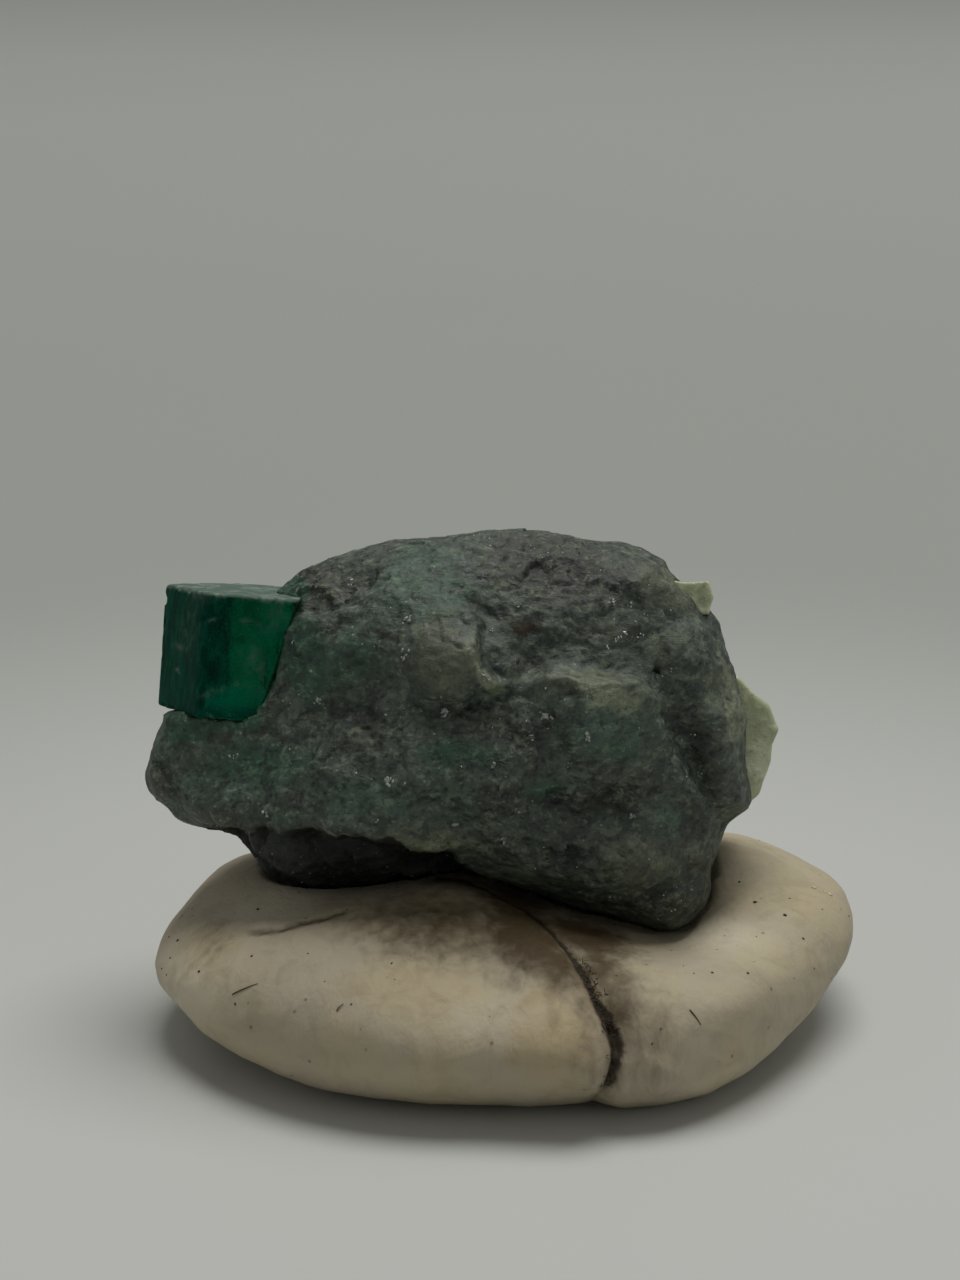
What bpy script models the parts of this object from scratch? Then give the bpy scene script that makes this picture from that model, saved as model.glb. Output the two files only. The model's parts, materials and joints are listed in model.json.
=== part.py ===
"""A raw emerald crystal in its matrix, standing on a kneaded lump of mineral putty.

The stub of a six-sided emerald sits in a notch of a piece of dark mica schist. Two pale
yellow-green crystals stick out of the rock's right side. Sizes are in millimetres and are
turned into metres where the meshes are made. The rock and its crystals are laid out in a
frame of their own, centred in the rock: x to the right, y away from VIEWPOINT and z up.
"""
import math

import bmesh
import bpy
import numpy as np
from mathutils import Matrix, Vector

MM = 0.001
GAP = 0.3                                   # clearance between neighbouring pieces

# Where the specimen is looked at from: forms are laid out as they appear from there.
VIEWPOINT = (-0.95, -130.0, 53.3)

# Matrix rock: an outline seen from VIEWPOINT, swept to a rounded block in depth.
ROCK_CENTRE = (-2.3, 2.7, 13.1)
ROCK_FRONT = 7.6
ROCK_BACK = 8.0
ROCK_SQUARENESS = 2.3
ROCK_OUTLINE = [
    (12.8, -2.0), (12.9, -0.2), (12.3, 1.7), (12.0, 2.8), (11.8, 4.0), (11.3, 4.6),
    (10.9, 5.2), (10.1, 5.7), (9.5, 6.2), (9.4, 6.7), (8.4, 7.2), (7.5, 7.5), (6.6, 7.6),
    (4.2, 8.0), (3.5, 8.1), (2.2, 8.0), (1.4, 8.0), (-0.4, 7.8), (-2.1, 7.6), (-3.4, 7.3),
    (-5.1, 6.8), (-6.4, 6.2), (-7.2, 5.6), (-7.8, 5.0), (-8.3, 3.9), (-8.7, 2.4),
    (-9.4, 1.1), (-10.8, 0.5), (-12.4, 0.2), (-12.3, -0.2), (-12.6, -0.8), (-12.8, -1.4),
    (-12.9, -2.0), (-13.1, -2.5), (-13.0, -3.0), (-12.7, -3.5), (-12.2, -3.7), (-11.9, -4.3),
    (-11.2, -4.7), (-10.3, -4.9), (-9.3, -5.0), (-8.8, -5.5), (-8.4, -6.1), (-7.8, -6.8),
    (-6.9, -7.3), (-6.0, -7.5), (-3.4, -7.3), (-0.8, -6.9), (0.9, -6.7), (2.2, -7.0),
    (3.5, -7.5), (4.8, -8.0), (5.9, -8.4), (7.4, -8.8), (8.9, -9.2), (9.7, -9.4),
    (10.6, -8.8), (11.1, -8.2), (11.3, -7.6), (11.3, -6.7), (11.5, -5.9), (11.8, -5.2),
    (12.0, -4.6), (13.0, -3.9),
]

# Broken faces of the rock: outward direction (x, y, z) and distance from the centre.
ROCK_FACES = [
    ((0.30, -0.94, -0.16), 7.9), ((-0.38, -0.92, -0.10), 7.4), ((0.05, -0.70, 0.71), 7.9),
    ((0.25, 0.93, 0.28), 7.0), ((-0.45, 0.87, -0.20), 7.6), ((0.12, 0.78, -0.61), 7.4),
    ((0.72, 0.66, 0.20), 9.6), ((-0.55, 0.62, 0.56), 8.2), ((0.10, 0.58, 0.81), 8.3),
]
FACE_SHARPNESS = 22.0

# Rounded swells and hollows: x, z, half width, half height, turn in degrees, rise.
SWELLS = [
    (-12.5, -2.9, 1.0, 0.9, 0, 0.5), (-10.6, -4.0, 1.9, 1.1, -10, 0.6),
    (-12.2, -1.0, 0.8, 1.0, 0, 0.4), (-5.2, -3.2, 3.2, 1.6, -8, 0.6),
    (0.2, -2.4, 3.6, 2.0, -15, 0.6), (7.2, -0.5, 3.0, 2.2, -10, 0.9),
    (8.2, -6.2, 2.8, 1.3, 5, 0.7), (3.2, -5.6, 2.6, 1.3, -20, 0.4),
    (-0.6, 6.2, 3.2, 1.4, 5, 0.4), (0.1, 2.7, 1.9, 1.8, 0, 0.5),
    (6.0, 3.6, 3.8, 1.7, -10, -1.3), (9.3, 1.4, 0.35, 0.35, 0, -0.6),
    (8.6, 5.9, 1.8, 0.9, -25, 0.7), (-3.2, -0.2, 1.6, 1.0, 10, -0.4),
    (10.9, 2.6, 1.2, 1.1, 0, 0.5), (11.6, -1.4, 1.0, 1.6, 0, 0.4),
]

# Broken ledges: path, rise and its fade on the left of the path, fall and its fade on the
# right, and the half width of the edge.
LEDGES = [
    # the lip of the front body over the dark lump beneath it
    ([(-12.0, -4.7), (-9.4, -5.0), (-6.5, -5.1), (-3.9, -5.3), (-2.1, -5.6), (-0.8, -6.0),
      (0.7, -6.5), (3.2, -7.8)], 0.2, 2.0, 3.6, 9.0, 0.22),
    # the top edge of the block at the lower right
    ([(10.4, 0.2), (9.6, 0.8), (9.0, 1.2), (8.3, 1.5), (6.5, 2.0), (4.8, 2.1), (3.4, 1.7),
      (2.6, 0.9)], 0.5, 2.5, 0.8, 3.0, 0.18),
    # its right side, above the recessed back of the rock
    ([(12.4, -6.4), (11.8, -5.0), (11.4, -3.7), (10.4, -1.9), (9.7, -0.2), (9.3, 1.0),
      (9.0, 2.0)], 0.3, 1.5, 2.0, 4.0, 0.25),
    # the bright rim of the knob in the middle
    ([(-2.2, 1.4), (-0.9, 0.9), (0.9, 0.8), (2.3, 1.1), (1.7, 2.1), (1.4, 3.1), (0.9, 3.9),
      (0.0, 4.4), (-1.3, 4.6), (-2.6, 4.2)], 0.3, 1.0, 0.55, 1.6, 0.16),
    # the shoulder in front of the hump at the back
    ([(-1.2, 6.4), (-2.4, 5.5), (-3.8, 4.9), (-5.2, 4.8), (-6.6, 4.9), (-8.2, 5.1)],
     0.2, 1.2, 1.7, 3.0, 0.18),
    # the rolled lower edge of the front body
    ([(2.4, -6.7), (4.0, -7.3), (5.7, -7.7), (7.4, -7.9), (8.9, -7.8), (10.4, -7.3),
      (12.4, -6.2)], 0.15, 1.0, 1.4, 2.4, 0.2),
]

# Cracks and grooves: path, depth and half width.
GROOVES = [
    ([(-3.8, 6.8), (-4.2, 5.6), (-4.3, 4.6)], 0.6, 0.22),
    ([(3.6, -3.4), (5.3, -3.8), (6.6, -4.4), (7.6, -4.2), (9.9, -3.3)], 0.8, 0.4),
    ([(9.9, 1.6), (10.0, -0.2), (10.8, -2.3)], 0.9, 0.5),
    ([(-12.7, -1.6), (-12.0, -3.1), (-11.8, -4.3)], 0.5, 0.3),
    ([(-2.2, -3.4), (1.0, -4.7), (4.2, -4.9)], 0.35, 0.6),
]

# Unevenness of the broken rock: size of the lumps, their height, and a seed.
ROCK_LUMPS = [(4.2, 0.34, 11), (1.9, 0.17, 12), (0.9, 0.08, 13)]

# Emerald: a hexagonal prism with sides of unequal length, all corners 120 degrees. The
# sides run from the front one to the right, round the back and home by the left.
EMERALD_SIDES = (4.1, 5.2, 5.1, 3.7, 5.6, 4.7)
EMERALD_HEIGHT = 5.3
EMERALD_FRONT_LEFT = (-10.36, -4.5, 2.55)   # middle of the upright edge at the front left
EMERALD_TURN = -3.4                         # degrees about its own axis
EMERALD_NOD = 5.5                           # its top leans to the viewer
EMERALD_LEAN = 4.4                          # and to the right
# Chips off its rims: a point on the cut and the cut's outward direction, in its own frame.
EMERALD_CHIPS = [
    ((3.4, 8.4, 2.65), (0.35, 0.45, 0.82)), ((-0.3, 8.2, 2.65), (-0.20, 0.55, 0.81)),
    ((4.0, 0.1, -2.62), (0.25, -0.30, -0.92)), ((-2.25, 4.0, 2.62), (-0.60, 0.10, 0.79)),
]

# Pale crystals: outline in the rock's frame, near and far face, and the cuts on them.
PALE_UPPER_OUTLINE = [(8.6, 4.0), (11.1, 4.3), (11.3, 5.0), (11.2, 5.4), (11.1, 5.7),
                      (10.1, 5.65), (9.2, 5.8)]
PALE_UPPER_DEPTH = (-2.6, 1.6)
PALE_UPPER_CUTS = [((11.1, -2.9, 5.6), (0.5, -0.62, 0.6)), ((11.3, 1.6, 5.0), (0.6, 0.8, 0.1)),
                   ((10.6, -0.2, 5.8), (0.15, 0.12, 0.98))]
PALE_SIDE_OUTLINE = [(11.2, -3.2), (12.8, -3.9), (13.4, -3.5), (13.85, -2.0), (13.9, -1.3),
                     (14.2, -0.6), (13.8, 0.4), (13.1, 0.9), (12.4, 1.7), (11.3, 0.9)]
PALE_SIDE_DEPTH = (-1.2, 3.6)
PALE_SIDE_CUTS = [((13.9, -1.2, 0.2), (0.62, -0.75, 0.2)), ((13.3, 3.2, -2.4), (0.62, 0.5, -0.6)),
                  ((12.9, 3.1, 0.9), (0.2, 0.7, 0.68)), ((13.7, 2.4, -0.4), (0.85, 0.52, 0.05)),
                  ((13.2, -0.9, -3.0), (0.5, -0.6, -0.62))]

# Putty: a kneaded pebble, pressed flat where it stands, folded once over itself.
PUTTY_CENTRE = (0.0, 0.0, 3.0)
PUTTY_HALF = (15.1, 12.0, 4.3)
PUTTY_OUTLINE = [
    (15.0, 1.0), (15.1, 2.0), (14.9, 2.9), (14.2, 3.6), (12.9, 4.3), (11.6, 4.9), (10.3, 5.3),
    (6.0, 5.7), (-1.0, 5.7), (-7.5, 5.3), (-11.2, 4.4), (-12.3, 3.8), (-13.3, 2.9),
    (-14.2, 1.8), (-14.8, 0.7), (-15.0, -0.3), (-14.8, -1.3), (-14.2, -2.1), (-13.1, -3.2),
    (-11.3, -4.3), (-9.6, -5.0), (-7.4, -5.7), (-5.3, -6.1), (-3.1, -6.3), (-0.9, -6.4),
    (1.2, -6.4), (3.0, -6.15), (3.7, -6.1), (5.1, -6.3), (6.8, -6.1), (8.6, -5.7),
    (10.3, -4.8), (11.6, -3.8), (12.9, -2.5), (13.8, -1.4), (14.6, -0.1),
]
PUTTY_SWELLS = [
    (-4.0, -2.0, 5.5, 2.6, -8, 0.5), (-12.0, 0.6, 2.2, 1.8, 0, 0.3),
    (8.5, -1.5, 3.5, 3.0, 20, 0.3), (12.0, 2.6, 2.4, 1.5, -10, 0.3),
    (-8.8, 2.4, 2.4, 0.9, 10, -0.3), (1.2, 0.4, 1.4, 1.8, 60, 0.4),
]
# Dents pressed into its top: x, y, half length, half width, depth.
PUTTY_DENTS = [(7.5, -2.5, 4.5, 3.0, 2.2), (-6.5, 0.0, 4.5, 2.6, 0.8)]
PUTTY_FOLD = [(2.4, -7.8), (3.5, -6.4), (4.4, -5.4), (4.8, -4.3), (4.5, -2.7), (3.8, -0.8), (3.2, 0.5),
              (2.5, 1.6), (1.9, 2.3), (0.8, 2.9), (-0.8, 3.4), (-2.8, 3.9)]
PUTTY_LEDGES = [(PUTTY_FOLD, 0.8, 2.4, 0.9, 2.8, 0.6)]
PUTTY_GROOVES = [
    (PUTTY_FOLD, 0.6, 0.3),
    ([(-11.5, 1.1), (-9.8, 1.0), (-9.0, 1.4), (-7.7, 1.7), (-6.0, 2.3)], 0.2, 0.2),
]
PUTTY_LUMPS = [(7.0, 0.30, 21), (2.6, 0.08, 22)]

IMPRINT_CELL = 0.4                          # grid on which the rock's imprint is found
GRID_HALF = 20.0                            # half the width of that grid
ROCK_FINENESS = 7                           # subdivisions of the sphere that is shaped
PUTTY_FINENESS = 6
ROCK_KEPT = 0.064                           # share of the triangles kept after shaping
PUTTY_KEPT = 0.14


# ---------------------------------------------------------------- shaping with numbers

def smooth_step(low, high, value):
    """0 below low, 1 above high, and an S-curve between."""
    t = np.clip((value - low) / (high - low), 0.0, 1.0)
    return t * t * (3.0 - 2.0 * t)


def sight_frame(centre):
    """Columns: right, away from VIEWPOINT and up, for a thing centred there."""
    away = np.subtract(centre, VIEWPOINT)
    away = away / np.linalg.norm(away)
    right = np.cross(away, (0.0, 0.0, 1.0))
    right = right / np.linalg.norm(right)
    return np.stack([right, away, np.cross(right, away)], axis=1)


def as_seen(points, centre):
    """Where points of a sight frame appear on the plane through its centre."""
    distance = np.linalg.norm(np.subtract(centre, VIEWPOINT))
    nearer = distance / (distance + points[:, 1])
    return points[:, 0] * nearer, points[:, 2] * nearer


def outline_radius(outline, angle):
    """Distance from the centre to a star-shaped outline, at each angle, slightly rounded."""
    corners = np.array(outline)
    corners = corners[np.argsort(np.arctan2(corners[:, 1], corners[:, 0]))]
    after = np.roll(corners, -1, axis=0)
    turn = np.arctan2(corners[:, 1], corners[:, 0])
    steps = np.linspace(-math.pi, math.pi, 1441)
    side = np.searchsorted(turn, steps, side="right") - 1
    span = after - corners
    area = corners[:, 0] * after[:, 1] - corners[:, 1] * after[:, 0]
    slant = np.cos(steps) * span[side, 1] - np.sin(steps) * span[side, 0]
    fine = area[side] / slant
    kernel = np.exp(-0.5 * (np.arange(-8, 9) / 3.0) ** 2)
    rounded = np.convolve(np.concatenate([fine[-9:-1], fine, fine[1:9]]), kernel, "valid")
    return np.interp(angle, steps, rounded / kernel.sum())


def lumps(points, layers):
    """Smooth noise on a lattice of random heights, summed over layers of lump sizes."""
    total = np.zeros(len(points))
    for size, height, seed in layers:
        heights = np.random.default_rng(seed).uniform(-1.0, 1.0, 4096)
        cell = np.floor(points / size).astype(np.int64)
        part = points / size - cell
        part = part * part * (3.0 - 2.0 * part)
        for corner in np.ndindex(2, 2, 2):
            at = cell + corner
            key = (at[:, 0] * 73856093) ^ (at[:, 1] * 19349663) ^ (at[:, 2] * 83492791)
            share = np.prod(np.where(corner, part, 1.0 - part), axis=1)
            total += height * share * heights[key % 4096]
    return total


def beside_path(x, z, path):
    """Distance to a path, positive on its left, and a weight that fades at its ends."""
    nearest = np.full(x.shape, np.inf)
    side = np.ones(x.shape)
    run = np.zeros(x.shape)
    corners = np.array(path)
    lengths = np.linalg.norm(np.diff(corners, axis=0), axis=1)
    starts = np.concatenate([[0.0], np.cumsum(lengths)])
    for (ax, az), (bx, bz), length, start in zip(corners, corners[1:], lengths, starts):
        dx, dz = (bx - ax) / length, (bz - az) / length
        along = np.clip((x - ax) * dx + (z - az) * dz, 0.0, length)
        off_x, off_z = x - ax - along * dx, z - az - along * dz
        distance = np.hypot(off_x, off_z)
        closer = distance < nearest
        nearest = np.where(closer, distance, nearest)
        side = np.where(closer, np.sign(dx * off_z - dz * off_x), side)
        run = np.where(closer, (start + along) / starts[-1], run)
    ends = smooth_step(0.0, 0.2, run) * smooth_step(1.0, 0.8, run)
    return nearest * side, ends


def relief(x, z, swells, ledges, grooves):
    """Height towards the viewer of all swells, ledges and grooves at points as seen."""
    height = np.zeros(x.shape)
    for cx, cz, wide, high, turn, rise in swells:
        c, s = math.cos(math.radians(turn)), math.sin(math.radians(turn))
        u = ((x - cx) * c + (z - cz) * s) / wide
        v = ((z - cz) * c - (x - cx) * s) / high
        height += rise * np.exp(-(u * u + v * v) ** 1.3)
    for path, rise, rise_fade, fall, fall_fade, edge in ledges:
        beside, ends = beside_path(x, z, path)
        up = smooth_step(-edge, edge, beside) * rise * np.exp(-np.maximum(beside, 0) / rise_fade)
        down = smooth_step(edge, -edge, beside) * fall * np.exp(np.minimum(beside, 0) / fall_fade)
        height += (up - down) * ends
    for path, depth, width in grooves:
        beside, ends = beside_path(x, z, path)
        height -= depth * ends * np.exp(-(beside / width) ** 2)
    return height


def ellipsoid_as_seen(half, frame, angle):
    """Distance from its centre to the edge of an ellipsoid as seen from VIEWPOINT.

    The rays that graze it form a cone, and the cone meets the plane through the centre
    where a quadratic in the distance is zero.
    """
    distance = np.linalg.norm(np.subtract(PUTTY_CENTRE, VIEWPOINT))
    form = frame.T @ np.diag(1.0 / half ** 2) @ frame
    outward = np.stack([np.cos(angle), np.zeros(angle.shape), np.sin(angle)], axis=1)
    depth_term = distance ** 2 * form[1, 1]
    mixed = distance * (outward @ form[1])
    square = (depth_term - 1.0) * np.sum(outward @ form * outward, axis=1) - mixed ** 2
    return (mixed + np.sqrt(mixed ** 2 + square * depth_term)) / square


def rock_points(ray):
    """The rock's surface in the directions of ray: outline, broken faces, relief, lumps."""
    across = np.hypot(ray[:, 0], ray[:, 2])
    reach = outline_radius(ROCK_OUTLINE, np.arctan2(ray[:, 2], ray[:, 0]))
    depth = np.where(ray[:, 1] < 0.0, ROCK_FRONT, ROCK_BACK)
    power = ROCK_SQUARENESS
    radius = ((across / reach) ** power + (np.abs(ray[:, 1]) / depth) ** power) ** (-1 / power)
    inverse = radius ** -FACE_SHARPNESS
    for normal, distance in ROCK_FACES:
        normal = np.array(normal) / np.linalg.norm(normal)
        inverse += (np.maximum(ray @ normal, 0.0) / distance) ** FACE_SHARPNESS
    points = ray * (inverse ** (-1 / FACE_SHARPNESS))[:, None]
    facing = smooth_step(0.15, -0.25, ray[:, 1])
    x, z = as_seen(points, ROCK_CENTRE)
    raised = relief(x, z, SWELLS, LEDGES, GROOVES) * facing
    points = points + ray * lumps(points, ROCK_LUMPS)[:, None]
    points[:, 1] -= raised
    return points


def unit_rays(fineness):
    """Directions from the centre of an icosphere to its points."""
    bm = bmesh.new()
    bmesh.ops.create_icosphere(bm, subdivisions=fineness, radius=1.0)
    ray = np.array([vert.co for vert in bm.verts])
    bm.free()
    return ray / np.linalg.norm(ray, axis=1)[:, None]


def underside(points, cell, spread):
    """The lowest height of points over each cell of a level grid, spread to cells beside."""
    cells = int(2 * GRID_HALF / cell)
    grid = np.full((cells, cells), np.inf)
    place = np.floor((points[:, :2] + GRID_HALF) / cell).astype(int)
    np.minimum.at(grid, (place[:, 0], place[:, 1]), points[:, 2])
    for _ in range(spread):
        for shift, axis in ((1, 0), (-1, 0), (1, 1), (-1, 1)):
            grid = np.minimum(grid, np.roll(grid, shift, axis))
    return grid


def keep_below(points, grid, cell, gap):
    """Push points down until they are a gap below what stands over them."""
    place = np.floor((points[:, :2] + GRID_HALF) / cell).astype(int)
    roof = grid[place[:, 0], place[:, 1]] - gap
    points[:, 2] = np.minimum(points[:, 2], roof)


def putty_points(ray):
    """The putty's surface: an ellipsoid scaled to its outline, folded, dented by the rock."""
    half = np.array(PUTTY_HALF)
    frame = sight_frame(PUTTY_CENTRE)
    local = ray @ frame
    angle = np.arctan2(local[:, 2], local[:, 0])
    fitted = outline_radius(PUTTY_OUTLINE, angle) / ellipsoid_as_seen(half, frame, angle)
    lying = smooth_step(0.05, 0.45, np.hypot(local[:, 0], local[:, 2]))
    fitted = 1.0 + (fitted - 1.0) * lying
    radius = fitted / np.linalg.norm(ray / half, axis=1)
    points = local * radius[:, None]
    facing = smooth_step(0.25, -0.25, local[:, 1])
    x, z = as_seen(points, PUTTY_CENTRE)
    raised = relief(x, z, PUTTY_SWELLS, PUTTY_LEDGES, PUTTY_GROOVES) * facing
    points = points + local * (raised + lumps(points, PUTTY_LUMPS))[:, None]
    points = points @ frame.T + PUTTY_CENTRE
    for x, y, long, wide, depth in PUTTY_DENTS:
        apart = ((points[:, 0] - x) / long) ** 2 + ((points[:, 1] - y) / wide) ** 2
        upper = smooth_step(3.0, 5.0, points[:, 2])
        points[:, 2] -= depth * np.exp(-apart ** 1.3) * upper
    rock = rock_points(unit_rays(ROCK_FINENESS)) @ sight_frame(ROCK_CENTRE).T + ROCK_CENTRE
    keep_below(points, underside(rock, IMPRINT_CELL, 2), IMPRINT_CELL, GAP)
    return points


# ---------------------------------------------------------------- making the pieces

def clear_scene():
    """Start empty."""
    for obj in list(bpy.data.objects):
        bpy.data.objects.remove(obj, do_unlink=True)


def new_collection(name):
    """A collection linked to the scene."""
    collection = bpy.data.collections.new(name)
    bpy.context.scene.collection.children.link(collection)
    return collection


def finish(name, colour, roughness, transmission=0.0, ior=1.5):
    """A Principled material."""
    material = bpy.data.materials.new(name)
    material.use_nodes = True
    shader = material.node_tree.nodes["Principled BSDF"]
    shader.inputs["Base Color"].default_value = (*colour, 1.0)
    shader.inputs["Roughness"].default_value = roughness
    shader.inputs["Metallic"].default_value = 0.0
    shader.inputs["Transmission Weight"].default_value = transmission
    shader.inputs["IOR"].default_value = ior
    return material


def add_object(name, mesh, collection, material=None, parent=None):
    """An object for a mesh, in its collection, with its material and parent."""
    obj = bpy.data.objects.new(name, mesh)
    collection.objects.link(obj)
    if material is not None:
        mesh.materials.append(material)
    obj.parent = parent
    return obj


def shaped_sphere(name, fineness, surface):
    """An icosphere whose points are moved onto a surface given by direction."""
    bm = bmesh.new()
    bmesh.ops.create_icosphere(bm, subdivisions=fineness, radius=1.0)
    for vert, place in zip(bm.verts, surface(unit_rays(fineness)) * MM):
        vert.co = place
    mesh = bpy.data.meshes.new(name)
    bm.to_mesh(mesh)
    bm.free()
    return mesh


def add_decimate(obj, kept):
    """Thin a finely shaped mesh, keeping its form."""
    modifier = obj.modifiers.new("Thin out", "DECIMATE")
    modifier.ratio = kept


def add_cut(obj, cutter):
    """Take a cutter's volume out of an object."""
    modifier = obj.modifiers.new("Seat of " + cutter.name, "BOOLEAN")
    modifier.operation = "DIFFERENCE"
    modifier.solver = "EXACT"
    modifier.object = cutter


def settle_in_one_body(obj):
    """Apply an object's modifiers, and drop the crumbs that a grazing cut left beside it."""
    graph = bpy.context.evaluated_depsgraph_get()
    mesh = bpy.data.meshes.new_from_object(obj.evaluated_get(graph))
    bm = bmesh.new()
    bm.from_mesh(mesh)
    waiting = set(bm.faces)
    bodies = []
    while waiting:
        body = {waiting.pop()}
        rim = list(body)
        while rim:
            edges = [edge for edge in rim.pop().edges if edge.is_manifold]
            beside = {face for edge in edges for face in edge.link_faces} - body
            body |= beside
            rim.extend(beside)
        waiting -= body
        bodies.append(body)
    largest = max(bodies, key=len)
    crumbs = [face for face in bm.faces if face not in largest]
    bmesh.ops.delete(bm, geom=crumbs, context="FACES")
    bm.to_mesh(mesh)
    bm.free()
    obj.modifiers.clear()
    obj.data = mesh


def hide_cutter(obj):
    """Mark an object as a cutter, which isn't part of the model."""
    obj.hide_render = True
    obj.display_type = "WIRE"


def cut_flat(bm, point, normal):
    """Slice a convex solid with a plane, and close the flat cut."""
    geometry = bm.verts[:] + bm.edges[:] + bm.faces[:]
    cut = bmesh.ops.bisect_plane(bm, geom=geometry, plane_co=point, plane_no=normal,
                                 clear_outer=True, dist=1e-7)
    rim = [item for item in cut["geom_cut"] if isinstance(item, bmesh.types.BMEdge)]
    if rim:
        bmesh.ops.edgeloop_fill(bm, edges=rim)


def prism(name, outline, low, high):
    """A closed prism: a flat outline in x and y, filled by a 2D curve, from low to high in z."""
    curve = bpy.data.curves.new(name, "CURVE")
    curve.dimensions = "2D"
    curve.fill_mode = "BOTH"
    curve.extrude = (high - low) / 2
    spline = curve.splines.new("POLY")
    spline.points.add(len(outline) - 1)
    for point, (x, y) in zip(spline.points, outline):
        point.co = (x, y, 0.0, 1.0)
    spline.use_cyclic_u = True
    holder = bpy.data.objects.new(name, curve)
    bpy.context.scene.collection.objects.link(holder)
    graph = bpy.context.evaluated_depsgraph_get()
    mesh = bpy.data.meshes.new_from_object(holder.evaluated_get(graph))
    bpy.data.objects.remove(holder, do_unlink=True)
    bpy.data.curves.remove(curve)
    bm = bmesh.new()
    bm.from_mesh(mesh)
    bmesh.ops.remove_doubles(bm, verts=bm.verts, dist=1e-4)
    bmesh.ops.translate(bm, verts=bm.verts, vec=(0.0, 0.0, (high + low) / 2))
    bmesh.ops.dissolve_limit(bm, angle_limit=0.01, verts=bm.verts, edges=bm.edges)
    return mesh, bm


def close_up(mesh, bm):
    """Scale a prism's working mesh to metres, store it, and give it its material."""
    bmesh.ops.scale(bm, vec=(MM, MM, MM), verts=bm.verts)
    bmesh.ops.recalc_face_normals(bm, faces=bm.faces)
    bm.to_mesh(mesh)
    bm.free()
    mesh.materials.clear()
    mesh.shade_flat()
    return mesh


def grown(outline, margin):
    """A convex outline, anticlockwise, with every side moved outwards by margin."""
    corners = [Vector(corner) for corner in outline]
    result = []
    for before, here, after in zip(corners[-1:] + corners, corners, corners[1:] + corners[:1]):
        first = (here - before).normalized()
        second = (after - here).normalized()
        out_first = Vector((first.y, -first.x))
        out_second = Vector((second.y, -second.x))
        middle = (out_first + out_second).normalized()
        result.append(here + middle * (margin / middle.dot(out_first)))
    return [tuple(corner) for corner in result]


def emerald_outline():
    """The emerald's hexagon, from its front left corner at the origin, in its own frame."""
    corners = [Vector((0.0, 0.0))]
    for index, side in enumerate(EMERALD_SIDES[:-1]):
        turn = math.radians(60 * index)
        corners.append(corners[-1] + side * Vector((math.cos(turn), math.sin(turn))))
    return [tuple(corner) for corner in corners]


def emerald_mesh(name, margin, chips):
    """The emerald's prism, grown by margin, with chips off its rims."""
    half = EMERALD_HEIGHT / 2 + margin
    mesh, bm = prism(name, grown(emerald_outline(), margin), -half, half)
    for point, normal in chips:
        cut_flat(bm, Vector(point), Vector(normal).normalized())
    return close_up(mesh, bm)


def place_emerald(obj):
    """Set the emerald, or its seat, in the rock's frame."""
    lean = Matrix.Rotation(math.radians(EMERALD_LEAN), 3, "Y")
    nod = Matrix.Rotation(math.radians(EMERALD_NOD), 3, "X")
    turn = Matrix.Rotation(math.radians(EMERALD_TURN), 3, "Z")
    obj.rotation_euler = (lean @ nod @ turn).to_euler()
    obj.location = Vector(EMERALD_FRONT_LEFT) * MM


def pale_mesh(name, outline, depth, cuts, margin):
    """A pale crystal: an outline in x and z, swept in y, with flat cuts."""
    mesh, bm = prism(name, grown(outline, margin), depth[0] - margin, depth[1] + margin)
    bmesh.ops.transform(bm, matrix=Matrix(((1, 0, 0, 0), (0, 0, 1, 0), (0, 1, 0, 0), (0, 0, 0, 1))),
                        verts=bm.verts)
    bmesh.ops.reverse_faces(bm, faces=bm.faces)
    for point, normal in cuts:
        outward = Vector(normal).normalized()
        cut_flat(bm, Vector(point) + outward * margin, outward)
    return close_up(mesh, bm)


def add_rock(parts, specimen):
    """The matrix rock."""
    material = finish("matrix stone", (0.105, 0.125, 0.105), 0.62)
    mesh = shaped_sphere("matrix_rock", ROCK_FINENESS, rock_points)
    rock = add_object("matrix_rock", mesh, parts, material, specimen)
    add_decimate(rock, ROCK_KEPT)
    return rock


def add_emerald(parts, cutters, specimen, rock):
    """The emerald, and its seat in the rock."""
    material = finish("emerald", (0.01, 0.32, 0.14), 0.08, transmission=0.9, ior=1.575)
    mesh = emerald_mesh("emerald_crystal", 0.0, EMERALD_CHIPS)
    crystal = add_object("emerald_crystal", mesh, parts, material, specimen)
    place_emerald(crystal)
    seat = add_object("emerald_seat", emerald_mesh("emerald_seat", GAP, []), cutters,
                      parent=specimen)
    place_emerald(seat)
    hide_cutter(seat)
    add_cut(rock, seat)


def add_pale_crystals(parts, cutters, specimen, rock):
    """The two pale crystals at the rock's right side, and their seats."""
    material = finish("pale crystal", (0.36, 0.40, 0.20), 0.4)
    rows = (("pale_crystal_upper", PALE_UPPER_OUTLINE, PALE_UPPER_DEPTH, PALE_UPPER_CUTS),
            ("pale_crystal_side", PALE_SIDE_OUTLINE, PALE_SIDE_DEPTH, PALE_SIDE_CUTS))
    for name, outline, depth, cuts in rows:
        mesh = pale_mesh(name, outline, depth, cuts, 0.0)
        add_object(name, mesh, parts, material, specimen)
        seat_name = name + "_seat"
        seat_mesh = pale_mesh(seat_name, outline, depth, cuts, GAP)
        seat = add_object(seat_name, seat_mesh, cutters, parent=specimen)
        hide_cutter(seat)
        add_cut(rock, seat)


def add_putty(parts):
    """The lump of putty, flat underneath."""
    material = finish("putty", (0.47, 0.44, 0.34), 0.75)
    mesh = shaped_sphere("putty_mount", PUTTY_FINENESS, putty_points)
    bm = bmesh.new()
    bm.from_mesh(mesh)
    cut_flat(bm, Vector((0.0, 0.0, 0.0)), Vector((0.0, 0.0, -1.0)))
    bmesh.ops.triangulate(bm, faces=bm.faces)
    bm.to_mesh(mesh)
    bm.free()
    putty = add_object("putty_mount", mesh, parts, material)
    add_decimate(putty, PUTTY_KEPT)


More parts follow.
